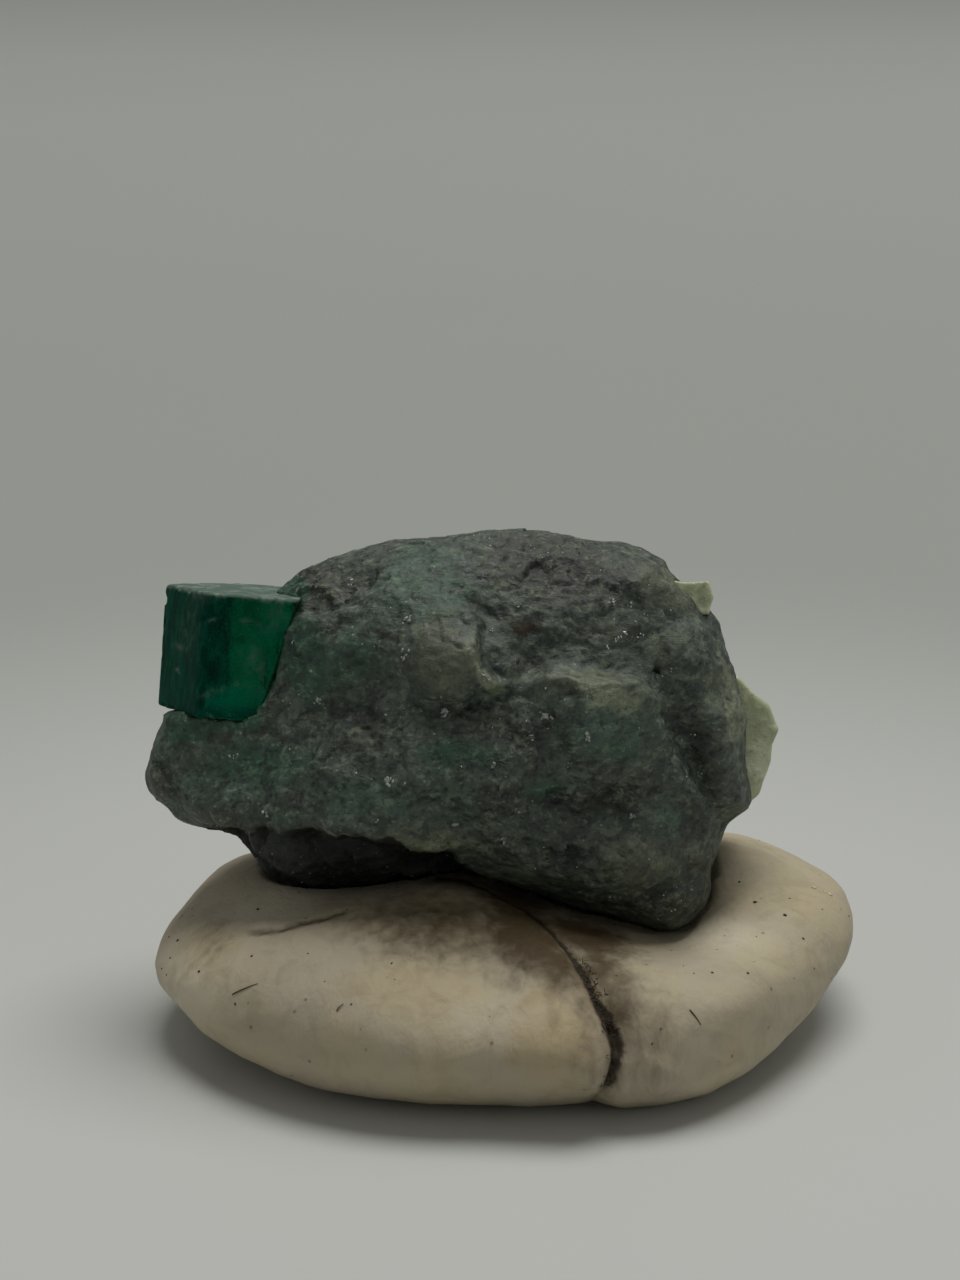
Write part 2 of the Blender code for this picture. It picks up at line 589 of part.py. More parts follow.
def add_specimen_frame(collection):
    """The empty that carries the rock and its crystals."""
    specimen = bpy.data.objects.new("specimen", None)
    collection.objects.link(specimen)
    specimen.rotation_euler = Matrix(sight_frame(ROCK_CENTRE).tolist()).to_euler()
    specimen.location = Vector(ROCK_CENTRE) * MM
    return specimen


def main():
    """Build every piece."""
    clear_scene()
    parts = new_collection("raw emerald crystal")
    cutters = new_collection("cutters")
    specimen = add_specimen_frame(parts)
    rock = add_rock(parts, specimen)
    add_emerald(parts, cutters, specimen, rock)
    add_pale_crystals(parts, cutters, specimen, rock)
    settle_in_one_body(rock)
    add_putty(parts)


main()
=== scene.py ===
"""Dresses the raw emerald crystal: clear emerald, mica schist, pale crystals and kneaded putty.

Sizes are in millimetres and are turned into metres where the meshes are made. The rock and
its crystals are laid out in a frame of their own, centred in the rock: x to the right, y away
from VIEWPOINT and z up. The putty and the fibres on it are laid out in the row frame.
"""
import json
import logging
import math
from dataclasses import dataclass
from enum import Enum

import bpy
import numpy as np
from mathutils import Matrix

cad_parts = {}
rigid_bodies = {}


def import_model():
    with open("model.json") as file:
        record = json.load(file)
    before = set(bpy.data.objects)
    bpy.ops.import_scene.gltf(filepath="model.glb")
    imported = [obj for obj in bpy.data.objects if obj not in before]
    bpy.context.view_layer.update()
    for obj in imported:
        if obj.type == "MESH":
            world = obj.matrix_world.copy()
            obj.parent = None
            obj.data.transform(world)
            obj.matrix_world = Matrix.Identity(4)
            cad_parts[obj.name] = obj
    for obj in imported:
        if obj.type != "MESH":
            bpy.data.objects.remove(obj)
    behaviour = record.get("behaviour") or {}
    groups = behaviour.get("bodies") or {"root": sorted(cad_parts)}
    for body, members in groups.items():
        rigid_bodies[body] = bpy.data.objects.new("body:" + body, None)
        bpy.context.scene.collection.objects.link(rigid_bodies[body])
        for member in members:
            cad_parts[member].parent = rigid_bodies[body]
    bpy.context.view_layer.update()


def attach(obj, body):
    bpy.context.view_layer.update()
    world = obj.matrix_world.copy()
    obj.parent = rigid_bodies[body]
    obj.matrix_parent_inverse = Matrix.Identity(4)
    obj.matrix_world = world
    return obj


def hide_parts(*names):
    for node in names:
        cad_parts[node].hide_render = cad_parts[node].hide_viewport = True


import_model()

LOG = logging.getLogger("specimen")
Array = np.ndarray
Pair = tuple[float, float]
Triple = tuple[float, float, float]

MM = 0.001
VIEWPOINT: Triple = (-0.95, -130.0, 53.3)
LATTICE_ROWS = 4096
LATTICE_PRIMES = (73856093, 19349663, 83492791)
OUTLINE_STEPS = 1441
OUTLINE_BLUR_REACH = 8
OUTLINE_BLUR_WIDTH = 3.0


# ---------------------------------------------------------------- shaping with numbers

def smooth_step(low: float, high: float, value: Array) -> Array:
    """An S-curve: 0 at low and before it, 1 at high and after it.

    Args:
        low: where the curve leaves 0.
        high: where it reaches 1; it may be the smaller of the two.
        value: the numbers to map.

    Returns:
        3 t squared minus 2 t cubed, for t the clamped share of the way.
    """
    t = np.clip((value - low) / (high - low), 0.0, 1.0)
    return t * t * (3.0 - 2.0 * t)


def sight_frame(centre: Triple) -> Array:
    """The axes that face VIEWPOINT from a centre.

    Args:
        centre: the middle of a thing, in the row frame.

    Returns:
        A matrix whose columns are right, away from VIEWPOINT and up.
    """
    away = np.subtract(centre, VIEWPOINT)
    away = away / np.linalg.norm(away)
    right = np.cross(away, (0.0, 0.0, 1.0))
    right = right / np.linalg.norm(right)
    return np.stack([right, away, np.cross(right, away)], axis=1)


def as_seen(points: Array, centre: Triple) -> tuple[Array, Array]:
    """Where points of a sight frame appear on the plane through its centre.

    Args:
        points: rows of x, y, z in the sight frame.
        centre: the frame's centre in the row frame.

    Returns:
        Their x and z, scaled by distance over distance plus depth.
    """
    distance = np.linalg.norm(np.subtract(centre, VIEWPOINT))
    nearer = distance / (distance + points[:, 1])
    return points[:, 0] * nearer, points[:, 2] * nearer


def showing_nearest(points: Array, centre: Triple, places: Array, limit: float) -> Array:
    """Which point shows nearest to each place as seen, leaving out those that lie far back.

    Args:
        points: rows of x, y, z in the sight frame.
        centre: the frame's centre in the row frame.
        places: rows that start with an x and a z as seen.
        limit: depth from which points count as lying far back.

    Returns:
        One number of a point for each place.
    """
    x, z = as_seen(points, centre)
    far_back = np.where(points[:, 1] < limit, 0.0, 9.0)
    return np.array([np.argmin(np.hypot(x - row[0], z - row[1]) + far_back) for row in places])


def outline_radius(outline: tuple[Pair, ...], angle: Array) -> Array:
    """Distance from the centre to a star-shaped outline.

    Each ray meets the straight side between two corners; the result is blurred a little
    along the turn, so corners are slightly rounded.

    Args:
        outline: corners around the centre.
        angle: directions of the rays, in radians.

    Returns:
        One distance for each angle.
    """
    corners = np.array(outline)
    corners = corners[np.argsort(np.arctan2(corners[:, 1], corners[:, 0]))]
    after = np.roll(corners, -1, axis=0)
    turn = np.arctan2(corners[:, 1], corners[:, 0])
    steps = np.linspace(-math.pi, math.pi, OUTLINE_STEPS)
    angle = (angle + math.pi) % (2 * math.pi) - math.pi
    side = np.searchsorted(turn, steps, side="right") - 1
    span = after - corners
    area = corners[:, 0] * after[:, 1] - corners[:, 1] * after[:, 0]
    slant = np.cos(steps) * span[side, 1] - np.sin(steps) * span[side, 0]
    fine = area[side] / slant
    reach = OUTLINE_BLUR_REACH
    kernel = np.exp(-0.5 * (np.arange(-reach, reach + 1) / OUTLINE_BLUR_WIDTH) ** 2)
    around = np.concatenate([fine[-reach - 1:-1], fine, fine[1:reach + 1]])
    rounded = np.convolve(around, kernel, "valid")
    return np.interp(angle, steps, rounded / kernel.sum())


def lattice_row(at: Array) -> Array:
    """A scattered row number for each lattice corner, the same on every run."""
    first, second, third = (at[:, axis] * prime for axis, prime in enumerate(LATTICE_PRIMES))
    return (first ^ second ^ third) % LATTICE_ROWS


def lumps(points: Array, layers: list[tuple[float, float, int]]) -> Array:
    """Smooth noise: random heights on a lattice, blended by S-curves and summed over layers.

    Args:
        points: where to work it out.
        layers: size of the lumps, their height and a seed, for each layer.

    Returns:
        One height for each point.
    """
    total = np.zeros(len(points))
    for size, height, seed in layers:
        heights = np.random.default_rng(seed).uniform(-1.0, 1.0, LATTICE_ROWS)
        cell = np.floor(points / size).astype(np.int64)
        part = points / size - cell
        part = part * part * (3.0 - 2.0 * part)
        for corner in np.ndindex(2, 2, 2):
            share = np.prod(np.where(corner, part, 1.0 - part), axis=1)
            total += height * share * heights[lattice_row(cell + corner)]
    return total


def crags(points: Array, layers: list[tuple[float, float, int]]) -> Array:
    """Broken-looking noise: one minus twice the size of the smooth noise of each layer."""
    total = np.zeros(len(points))
    for size, height, seed in layers:
        total += height * (1.0 - 2.0 * np.abs(lumps(points, [(size, 1.0, seed)])))
    return total


def facets(points: Array, layers: list[tuple[float, float, int]]) -> Array:
    """Broken facets: scattered points each own the space nearest to them and hold a slanted plane.

    Args:
        points: where to work it out.
        layers: size of the facets, their height and a seed, for each layer.

    Returns:
        The height of the nearest scattered point's plane, summed over the layers.
    """
    total = np.zeros(len(points))
    for size, height, seed in layers:
        chances = np.random.default_rng(seed).uniform(-1.0, 1.0, (LATTICE_ROWS, 7))
        cell = np.floor(points / size).astype(np.int64)
        nearest = np.full(len(points), np.inf)
        plane = np.zeros(len(points))
        for corner in np.ndindex(3, 3, 3):
            at = cell + corner - 1
            row = chances[lattice_row(at)]
            away = points / size - at - 0.5 - 0.45 * row[:, :3]
            far = np.sum(away ** 2, axis=1)
            closer = far < nearest
            nearest = np.where(closer, far, nearest)
            plane = np.where(closer, row[:, 3] + np.sum(row[:, 4:] * away, axis=1), plane)
        total += height * plane
    return total


def softened(path: tuple[Pair, ...], passes: int = 2) -> Array:
    """Round a path's corners: each pass puts two points a quarter in from the ends of a side."""
    corners = np.array(path)
    for _ in range(passes):
        first = corners[:-1] * 0.75 + corners[1:] * 0.25
        second = corners[:-1] * 0.25 + corners[1:] * 0.75
        between = np.stack([first, second], axis=1).reshape(-1, 2)
        corners = np.concatenate([corners[:1], between, corners[-1:]])
    return corners


def beside_path(x: Array, z: Array, path: tuple[Pair, ...]) -> tuple[Array, Array, Array]:
    """How points lie beside a path whose corners are softened.

    Args:
        x: sideways places.
        z: upward places.
        path: corners of the path.

    Returns:
        Distance to the path, positive on its left, a weight that fades at its ends, and the
        share of the path's length that has gone by.
    """
    nearest = np.full(x.shape, np.inf)
    side = np.ones(x.shape)
    run = np.zeros(x.shape)
    corners = softened(path)
    lengths = np.linalg.norm(np.diff(corners, axis=0), axis=1)
    starts = np.concatenate([[0.0], np.cumsum(lengths)])
    for (ax, az), (bx, bz), length, start in zip(corners, corners[1:], lengths, starts):
        dx, dz = (bx - ax) / length, (bz - az) / length
        along = np.clip((x - ax) * dx + (z - az) * dz, 0.0, length)
        off_x, off_z = x - ax - along * dx, z - az - along * dz
        distance = np.hypot(off_x, off_z)
        closer = distance < nearest
        nearest = np.where(closer, distance, nearest)
        side = np.where(closer, np.sign(dx * off_z - dz * off_x), side)
        run = np.where(closer, (start + along) / starts[-1], run)
    return nearest * side, smooth_step(0.0, 0.2, run) * smooth_step(1.0, 0.8, run), run


def oval(x: Array, z: Array, row: tuple[float, ...]) -> Array:
    """A flat-topped oval spot: e to the minus 1.3rd power of its squared distance.

    Args:
        x: sideways places.
        z: upward places.
        row: centre x, centre z, half width, half height and turn in degrees.

    Returns:
        1 in the middle, fading to 0 outside.
    """
    cx, cz, wide, high, turn = row[:5]
    c, s = math.cos(math.radians(turn)), math.sin(math.radians(turn))
    u = ((x - cx) * c + (z - cz) * s) / wide
    v = ((z - cz) * c - (x - cx) * s) / high
    return np.exp(-(u * u + v * v) ** 1.3)


def patches(x: Array, z: Array, rows: tuple[tuple[float, ...], ...]) -> Array:
    """The strongest of several oval spots, each times the strength that ends its row."""
    return np.max([row[5] * oval(x, z, row) for row in rows], axis=0)


@dataclass(frozen=True)
class Stroke:
    """A broken ledge or a groove drawn along a path.

    A ledge stands up by rise on the left of the path and falls by fall on its right, each
    fading away from the edge. A groove is a ledge's thin shadow: depth deep, width half wide.
    """

    path: tuple[Pair, ...]
    rise: float = 0.0
    rise_fade: float = 1.0
    fall: float = 0.0
    fall_fade: float = 1.0
    edge: float = 0.2
    depth: float = 0.0
    width: float = 0.3

    def height(self, x: Array, z: Array) -> Array:
        """What the stroke adds towards the viewer at places as seen."""
        beside, ends, _ = beside_path(x, z, self.path)
        up = smooth_step(-self.edge, self.edge, beside) * self.rise
        down = smooth_step(self.edge, -self.edge, beside) * self.fall
        up = up * np.exp(-np.maximum(beside, 0.0) / self.rise_fade)
        down = down * np.exp(np.minimum(beside, 0.0) / self.fall_fade)
        return (up - down - self.depth * np.exp(-(beside / self.width) ** 2)) * ends


@dataclass(frozen=True)
class Fold:
    """Where one side of a soft thing lies over the other.

    Both sides round down to the line along quarter circles, to depth below the surface, less
    deep towards the path's end. The left one first swells to over above it, and fades away
    further off.
    """

    path: tuple[Pair, ...]
    over: float = 0.4
    over_width: float = 1.5
    over_fade: float = 1.7
    under_width: float = 0.9
    depth: float = 0.7

    def height(self, x: Array, z: Array) -> Array:
        """What the fold adds towards the viewer at places as seen."""
        beside, ends, run = beside_path(x, z, self.path)
        left = np.sqrt(1.0 - (1.0 - np.clip(beside / self.over_width, 0.0, 1.0)) ** 2)
        right = np.sqrt(1.0 - (1.0 - np.clip(-beside / self.under_width, 0.0, 1.0)) ** 2)
        fade = np.exp(-(np.maximum(beside - 0.5 * self.over_width, 0.0) / self.over_fade) ** 2)
        depth = self.depth * (0.4 + 0.6 * smooth_step(0.75, 0.45, run))
        return (self.over * left * fade - depth * (1.0 - np.maximum(left, right))) * ends


@dataclass(frozen=True)
class Skin:
    """A closed skin of six square grids, one for each side of a cube, joined at the edges.

    The point of a grid at a, b from -1 to 1 looks along the side's axis plus the tangent of
    a quarter turn times a across, plus the same for b upwards.
    """

    cells: int

    def grid(self) -> tuple[Array, Array]:
        """Work out the skin.

        Returns:
            Unit directions from the centre, and the four corners of each face.
        """
        side = np.tan(np.linspace(-1.0, 1.0, self.cells + 1) * math.pi / 4)
        a, b = np.meshgrid(side, side, indexing="ij")
        number = np.arange(a.size).reshape(a.shape)
        face = np.stack([number[:-1, :-1], number[1:, :-1], number[1:, 1:], number[:-1, 1:]], -1)
        rays, faces = [], []
        for axis in range(3):
            for sign in (1.0, -1.0):
                place = np.zeros((a.size, 3))
                place[:, axis] = sign
                place[:, (axis + 1) % 3] = a.ravel() * sign
                place[:, (axis + 2) % 3] = b.ravel()
                faces.append(face.reshape(-1, 4) + len(rays) * a.size)
                rays.append(place)
        joined = np.concatenate(rays)
        _, first, index = np.unique(np.round(joined, 6), axis=0, return_index=True,
                                    return_inverse=True)
        joined = joined[first]
        return joined / np.linalg.norm(joined, axis=1)[:, None], index.ravel()[np.concatenate(faces)]


def point_normals(points: Array, faces: Array) -> Array:
    """Outward directions at points: the sum of the cross products of their faces' diagonals."""
    corner = points[faces]
    normal = np.cross(corner[:, 2] - corner[:, 0], corner[:, 3] - corner[:, 1])
    total = np.zeros(points.shape)
    for place in range(4):
        np.add.at(total, faces[:, place], normal)
    return total / np.maximum(np.linalg.norm(total, axis=1), 1e-12)[:, None]


def make_piece(name: str, points: Array, faces: Array, material: bpy.types.Material,
               marks: dict[str, Array] | None = None, smooth: bool = True) -> bpy.types.Object:
    """Put a surface of four-sided faces into a mesh and an object.

    Args:
        name: the piece's name.
        points: rows of x, y, z in millimetres, in the row frame.
        faces: four corners of each face.
        material: its finish.
        marks: numbers for each point that the finish reads by name.
        smooth: whether the shading runs on from face to face.

    Returns:
        The object, at the origin.
    """
    mesh = bpy.data.meshes.new(name)
    mesh.vertices.add(len(points))
    mesh.vertices.foreach_set("co", (points * MM).astype(np.float32).ravel())
    mesh.loops.add(faces.size)
    mesh.loops.foreach_set("vertex_index", faces.astype(np.int32).ravel())
    mesh.polygons.add(len(faces))
    mesh.polygons.foreach_set("loop_start", np.arange(0, faces.size, 4, dtype=np.int32))
    mesh.update(calc_edges=True)
    for mark, values in (marks or {}).items():
        layer = mesh.attributes.new(mark, "FLOAT", "POINT")
        layer.data.foreach_set("value", values.astype(np.float32))
    if smooth:
        mesh.shade_smooth()
    mesh.materials.append(material)
    piece = bpy.data.objects.new(name, mesh)
    bpy.context.scene.collection.objects.link(piece)
    LOG.info("%s: %d faces", name, len(faces))
    return piece


# ---------------------------------------------------------------- shader expressions

class Socket:
    """A shader value that can stand in a sum: each operator adds a Math node."""

    def __init__(self, nodes: "Nodes", out: bpy.types.NodeSocket) -> None:
        """Keep the node tree's helper and the output this value comes from."""
        self.nodes = nodes
        self.out = out

    def math(self, operation: str, first: "Value", second: "Value" = 0.0) -> "Socket":
        """Add a Math node.

        Args:
            operation: the node's operation.
            first: its first value.
            second: its second value.

        Returns:
            The node's result.
        """
        return self.nodes.make("ShaderNodeMath", {"operation": operation}, {0: first, 1: second})

    def __add__(self, other: "Value") -> "Socket":
        """This plus other."""
        return self.math("ADD", self, other)

    def __sub__(self, other: "Value") -> "Socket":
        """This minus other."""
        return self.math("SUBTRACT", self, other)

    def __mul__(self, other: "Value") -> "Socket":
        """This times other."""
        return self.math("MULTIPLY", self, other)

    def __rsub__(self, other: "Value") -> "Socket":
        """Other minus this."""
        return self.math("SUBTRACT", other, self)

    __radd__ = __add__
    __rmul__ = __mul__

    def most(self, other: "Value") -> "Socket":
        """The larger of this and other."""
        return self.math("MAXIMUM", self, other)

    def step(self, low: float, high: float) -> "Socket":
        """An S-curve from 0 at low to 1 at high; low may be the larger."""
        if low > high:
            return 1.0 - self.step(high, low)
        return self.nodes.make("ShaderNodeMapRange", {"interpolation_type": "SMOOTHSTEP"},
                               {0: self, 1: low, 2: high, 3: 0.0, 4: 1.0})


Value = Socket | float
Colour = Socket | Triple


class Nodes:
    """Builds one material's nodes."""

    def __init__(self, tree: bpy.types.NodeTree) -> None:
        """Empty the tree and keep it."""
        self.tree = tree
        tree.nodes.clear()
        self.place = self.make("ShaderNodeTexCoord", {}, {}, "Object")

    def make(self, kind: str, settings: dict, sockets: dict, out: str | int = 0) -> Socket:
        """Add any node.

        Args:
            kind: the node's type.
            settings: its properties, set first.
            sockets: values or links for its inputs, by name or number.
            out: the output to hand back.

        Returns:
            The chosen output, or the first one.
        """
        node = self.tree.nodes.new(kind)
        for key, value in settings.items():
            setattr(node, key, value)
        for key, value in sockets.items():
            if isinstance(value, Socket):
                self.tree.links.new(value.out, node.inputs[key])
            elif isinstance(value, tuple) and node.inputs[key].type == "RGBA":
                node.inputs[key].default_value = (*value, 1.0)
            else:
                node.inputs[key].default_value = value
        return Socket(self, node.outputs[out]) if node.outputs else Socket(self, None)

    def mark(self, name: str) -> Socket:
        """A number kept at each point of the piece."""
        return self.make("ShaderNodeAttribute", {"attribute_name": name}, {}, "Fac")

    def stretched(self, stretch: Triple, turn: Triple = (0.0, 0.0, 0.0)) -> Socket:
        """Object coordinates, turned by degrees and then scaled for each axis."""
        angles = tuple(math.radians(angle) for angle in turn)
        return self.make("ShaderNodeMapping", {"vector_type": "POINT"},
                         {"Vector": self.place, "Rotation": angles, "Scale": stretch})

    def noise(self, size: float, detail: float = 3.0, where: Socket | None = None,
              twist: float = 0.0, rough: float = 0.55) -> Socket:
        """Cloudy noise from 0 to 1.

        Args:
            size: width of its clouds in millimetres.
            detail: how many finer layers it has.
            where: coordinates to read instead of the plain ones.
            twist: how far it is distorted.
            rough: how strong the finer layers are.

        Returns:
            The noise.
        """
        return self.make("ShaderNodeTexNoise", {},
                         {"Vector": where or self.place, "Scale": 1.0 / (size * MM),
                          "Detail": detail, "Roughness": rough, "Distortion": twist})

    def cells(self, size: float, where: Socket | None = None) -> Socket:
        """Distance to the nearest of scattered points, a cell size apart, in cells."""
        return self.make("ShaderNodeTexVoronoi", {},
                         {"Vector": where or self.place, "Scale": 1.0 / (size * MM)}, "Distance")

    def grit(self, size: float, where: Socket | None = None, warp: float = 0.25) -> Socket:
        """Angular grains that each have one random value, about 0.2 to 0.8.

        Args:
            size: width of the grains in millimetres.
            where: coordinates to read instead of the plain ones.
            warp: how far their borders wander, in grain sizes.

        Returns:
            The value of the grain at each place.
        """
        wander = self.make("ShaderNodeTexNoise", {},
                           {"Vector": where or self.place, "Scale": 1.6 / (size * MM),
                            "Detail": 2.0}, "Color")
        moved = self.make("ShaderNodeVectorMath", {"operation": "MULTIPLY_ADD"},
                          {0: wander, 1: (warp * size * MM * 4,) * 3, 2: where or self.place})
        return self.make("ShaderNodeTexVoronoi", {},
                         {"Vector": moved, "Scale": 1.0 / (size * MM)}, "Color")

    def blend(self, share: Value, first: Colour, second: Colour, how: str = "MIX") -> Socket:
        """Mix two colours.

        Args:
            share: how much of the second.
            first: colour at 0.
            second: colour at 1.
            how: the way they are mixed.

        Returns:
            The mixed colour.
        """
        return self.make("ShaderNodeMix", {"data_type": "RGBA", "blend_type": how},
                         {0: share, 6: first, 7: second}, 2)

    def bump(self, height: Socket, distance: float, strength: float = 1.0,
             under: Socket | None = None) -> Socket:
        """A bumped normal for a height from 0 to 1 that stands for distance millimetres."""
        sockets = {"Height": height, "Distance": distance * MM, "Strength": strength}
        if under is not None:
            sockets["Normal"] = under
        return self.make("ShaderNodeBump", {}, sockets)

    def principled(self, sockets: dict) -> Socket:
        """The main shader."""
        return self.make("ShaderNodeBsdfPrincipled", {}, sockets)

    def finish(self, surface: Socket, volume: Socket | None = None) -> None:
        """Join the surface, and the volume if any, to the material's output."""
        sockets = {"Surface": surface}
        if volume is not None:
            sockets["Volume"] = volume
        self.make("ShaderNodeOutputMaterial", {}, sockets)


def new_material(name: str) -> tuple[bpy.types.Material, Nodes]:
    """An empty material and the builder of its nodes."""
    material = bpy.data.materials.new(name)
    material.use_nodes = True
    return material, Nodes(material.node_tree)


# ---------------------------------------------------------------- finishes

@dataclass(frozen=True)
class StoneFinish:
    """Mica schist: sage, olive and brown-grey patches, gritty, with pale waxy veins, painted shade
    in grooves and under ledges, and painted highlights on ledge edges.
    """

    grey: Triple = (0.046, 0.060, 0.047)
    light: Triple = (0.094, 0.118, 0.094)
    brown: Triple = (0.055, 0.061, 0.045)
    sage: Triple = (0.066, 0.112, 0.083)
    green: Triple = (0.016, 0.080, 0.044)
    # olive and pale also serve as painted highlights along the lip, the knob's rim and the block's
    # top edge
    olive: Triple = (0.100, 0.116, 0.078)
    pale: Triple = (0.22, 0.25, 0.165)
    # dark also serves as painted shade in grooves, hollows and under ledges
    dark: Triple = (0.018, 0.020, 0.019)
    rust: Triple = (0.050, 0.030, 0.013)
    # black: the lump's dark rock, also painted shade below the lip
    black: Triple = (0.013, 0.013, 0.014)
    white: Triple = (0.36, 0.39, 0.35)

    def material(self) -> bpy.types.Material:
        """Build the material.

        Returns:
            Patches of colour led by the marks kept on the rock, some of them painted shade and
            painted highlights, with painted shade in the relief's hollows and painted light on its
            rises, under grit and white specks.
        """
        material, n = new_material("matrix stone")
        bedded = n.stretched((0.6, 0.9, 1.1), (0.0, 8.0, 0.0))
        middle = n.noise(1.3, 4.0, twist=0.5, rough=0.6)
        clots = n.noise(0.65, 3.0, twist=0.7, rough=0.6)
        small = n.noise(0.35, 4.0, bedded, 0.5, 0.65)
        grain = n.noise(0.15, 3.0, rough=0.75)
        ragged = (middle - 0.5) * 0.6 + (clots - 0.5) * 0.5
        colour = n.blend((middle * 0.5 + clots * 0.5).step(0.40, 0.60), self.grey, self.light)
        # The pale and olive marks also paint highlights along the lip, the knob's rim and the
        # block's top edge.
        for mark, tint, share in (("brown", self.brown, 0.85), ("sage", self.sage, 0.8),
                                  ("olive", self.olive, 0.85), ("green", self.green, 0.75),
                                  ("pale", self.pale, 0.85), ("dark", self.dark, 0.72)):
            # The dark mark is partly dark stone and partly painted shade in grooves and under
            # ledges.
            colour = n.blend((n.mark(mark) + ragged).step(0.25, 0.75) * share, colour, tint)
        crumbly = n.mark("brown").most(n.mark("dark"))
        grit = n.grit(0.34, bedded) * 0.5 + n.grit(0.17) * 0.5
        blots = (clots * 0.25 + small * 0.35 + grit * 0.4).step(0.47, 0.36)
        smooth = n.mark("olive").most(n.mark("pale"))
        colour = n.blend(blots * (0.45 + crumbly * 0.2 - smooth * 0.33), colour, self.dark)
        flecks = (clots * 0.15 + small * 0.35 + grit * 0.5).step(0.55, 0.66)
        colour = n.blend(flecks * (0.22 + crumbly * 0.08 - smooth * 0.12), colour, self.pale)
        rust = (n.mark("rust") + (small - 0.5) * 1.6).step(0.45, 0.95)
        colour = n.blend(rust * 0.85, colour, self.rust)
        # Black below the lip: dark rock, and painted shade on the lip's underside.
        lump = (n.mark("lump") + (small - 0.5) * 0.3).step(0.35, 0.75)
        colour = n.blend(lump * 0.93, colour, self.black)
        # Painted shade in the hollows of the fine relief, and painted light on its rises.
        painted_relief_shading = n.mark("painted_relief_shading")
        colour = n.blend(painted_relief_shading.step(0.0, 1.0) * 0.45, colour, self.dark)
        colour = n.blend(painted_relief_shading.step(0.0, -1.0) * 0.2, colour, self.light)
        salt = n.cells(0.5).step(0.16, 0.05) * clots.step(0.5, 0.62)
        colour = n.blend(salt * (0.55 - lump * 0.3), colour, self.white)
        gritty = ((grit - 0.5) * (1.2 + crumbly * 0.9 - smooth * 0.7)
                  + (small - 0.5) * (1.0 + crumbly * 0.9 - smooth * 0.5))
        gritty = gritty + (grain.step(0.3, 0.7) - 0.5) * 0.3
        colour = n.blend(1.0, colour, (1.0 + gritty).most(0.25), "MULTIPLY")
        shine = 0.62 - n.mark("pale") * 0.12 - n.mark("green") * 0.08 + (grit - 0.5) * 0.7
        rough_relief = n.bump((middle * 0.2 + small * 0.4 + grit * 0.4), 0.16)
        fine_relief = n.bump(grain * 0.5 + small * 0.5, 0.05, 1.0, rough_relief)
        n.finish(n.principled({"Base Color": colour, "Roughness": shine, "Normal": fine_relief,
                               "Specular IOR Level": 0.4, "IOR": 1.55}))
        return material


@dataclass(frozen=True)
class EmeraldFinish:
    """Clear green beryl, cloudy and scratched, with hazed, pitted places on its faces."""

    tint: Triple = (0.0, 0.78, 0.66)
    density: float = 1000.0
    gleam: Triple = (0.12, 0.85, 0.55)
    depths: Triple = (0.0, 0.045, 0.024)
    cloudy: Triple = (0.002, 0.105, 0.058)
    # shine: the colour of the painted glow
    shine: Triple = (0.0, 0.15, 0.08)
    # haze_and_shade: the hazed skin's colour, also used for the painted shade band
    haze_and_shade: Triple = (0.001, 0.034, 0.022)
    dull: Triple = (0.003, 0.070, 0.042)
    # film_and_reflection: a pale coat; on top it also stands for a painted reflection of the bright
    # surroundings
    film_and_reflection: Triple = (0.25, 0.30, 0.26)

    def material(self) -> bpy.types.Material:
        """Build the material.

        Returns:
            Clear glass over an absorbing inside, partly covered by a thin dull skin whose colour
            carries a painted glow low on the front, a painted shade band and, on top, a painted
            reflection.
        """
        material, n = new_material("emerald")
        upright = n.stretched((1.0, 1.0, 0.16))
        cloud = n.noise(1.1, 4.0, twist=0.9)
        mottle = n.noise(0.45, 3.0, twist=0.3, rough=0.6)
        lines = n.noise(0.34, 2.0, upright, rough=0.5)
        relief = n.bump(lines * 0.4 + cloud * 0.6, 0.10, 0.7)
        clear = n.principled({"Base Color": (0.80, 1.0, 0.93), "Transmission Weight": 1.0,
                              "IOR": 1.575, "Normal": relief, "Specular IOR Level": 0.3,
                              "Roughness": 0.16 + mottle.step(0.4, 0.75) * 0.25,
                              "Specular Tint": self.gleam})
        body = n.blend((cloud * 0.5 + lines * 0.5).step(0.42, 0.62), self.depths, self.cloudy)
        # Painted glow: the body's colour made brighter green where light would come through.
        body = n.blend(n.mark("painted_glow"), body, self.shine)
        scratches = n.cells(0.55, where=n.stretched((0.45, 0.45, 1.5), (0.0, 12.0, 0.0)))
        marred = scratches.step(0.10, 0.05) * mottle.step(0.52, 0.62) * 0.7
        film_and_reflection = (mottle * 0.6 + cloud * 0.4).step(0.38, 0.68)
        # A pale coat on top and in veils; on top it is partly a painted reflection.
        dust_and_reflection = n.mark("film_and_reflection") * (n.mark("film_and_reflection").step(0.4, 0.8) * 0.4).most(film_and_reflection)
        hazy = n.blend((lines * 0.7 + mottle * 0.3).step(0.38, 0.62), self.haze_and_shade, self.dull)
        # The left face and top are hazed; the band from shaded is painted shade.
        colour = n.blend(n.mark("haze_and_shade"), body, hazy)
        colour = n.blend(dust_and_reflection.most(marred), colour, self.film_and_reflection)
        skin = n.principled({"Base Color": colour, "Roughness": 0.42 + cloud * 0.2,
                             "Normal": relief, "Specular IOR Level": 0.02,
                             "Specular Tint": self.gleam})
        clouded = (cloud * 0.6 + mottle * 0.4).step(0.40, 0.60)
        cover = n.mark("haze_and_shade").most(dust_and_reflection * 0.9).most(0.16 + clouded * 0.5)
        # The skin covers the painted glow too, so its bright green is painted on the surface.
        cover = cover.most(n.mark("painted_glow") * 0.7)
        surface = n.make("ShaderNodeMixShader", {}, {0: cover, 1: clear, 2: skin})
        inside = n.make("ShaderNodeVolumeAbsorption", {},
                        {"Color": self.tint, "Density": self.density})
        n.finish(surface, inside)
        return material


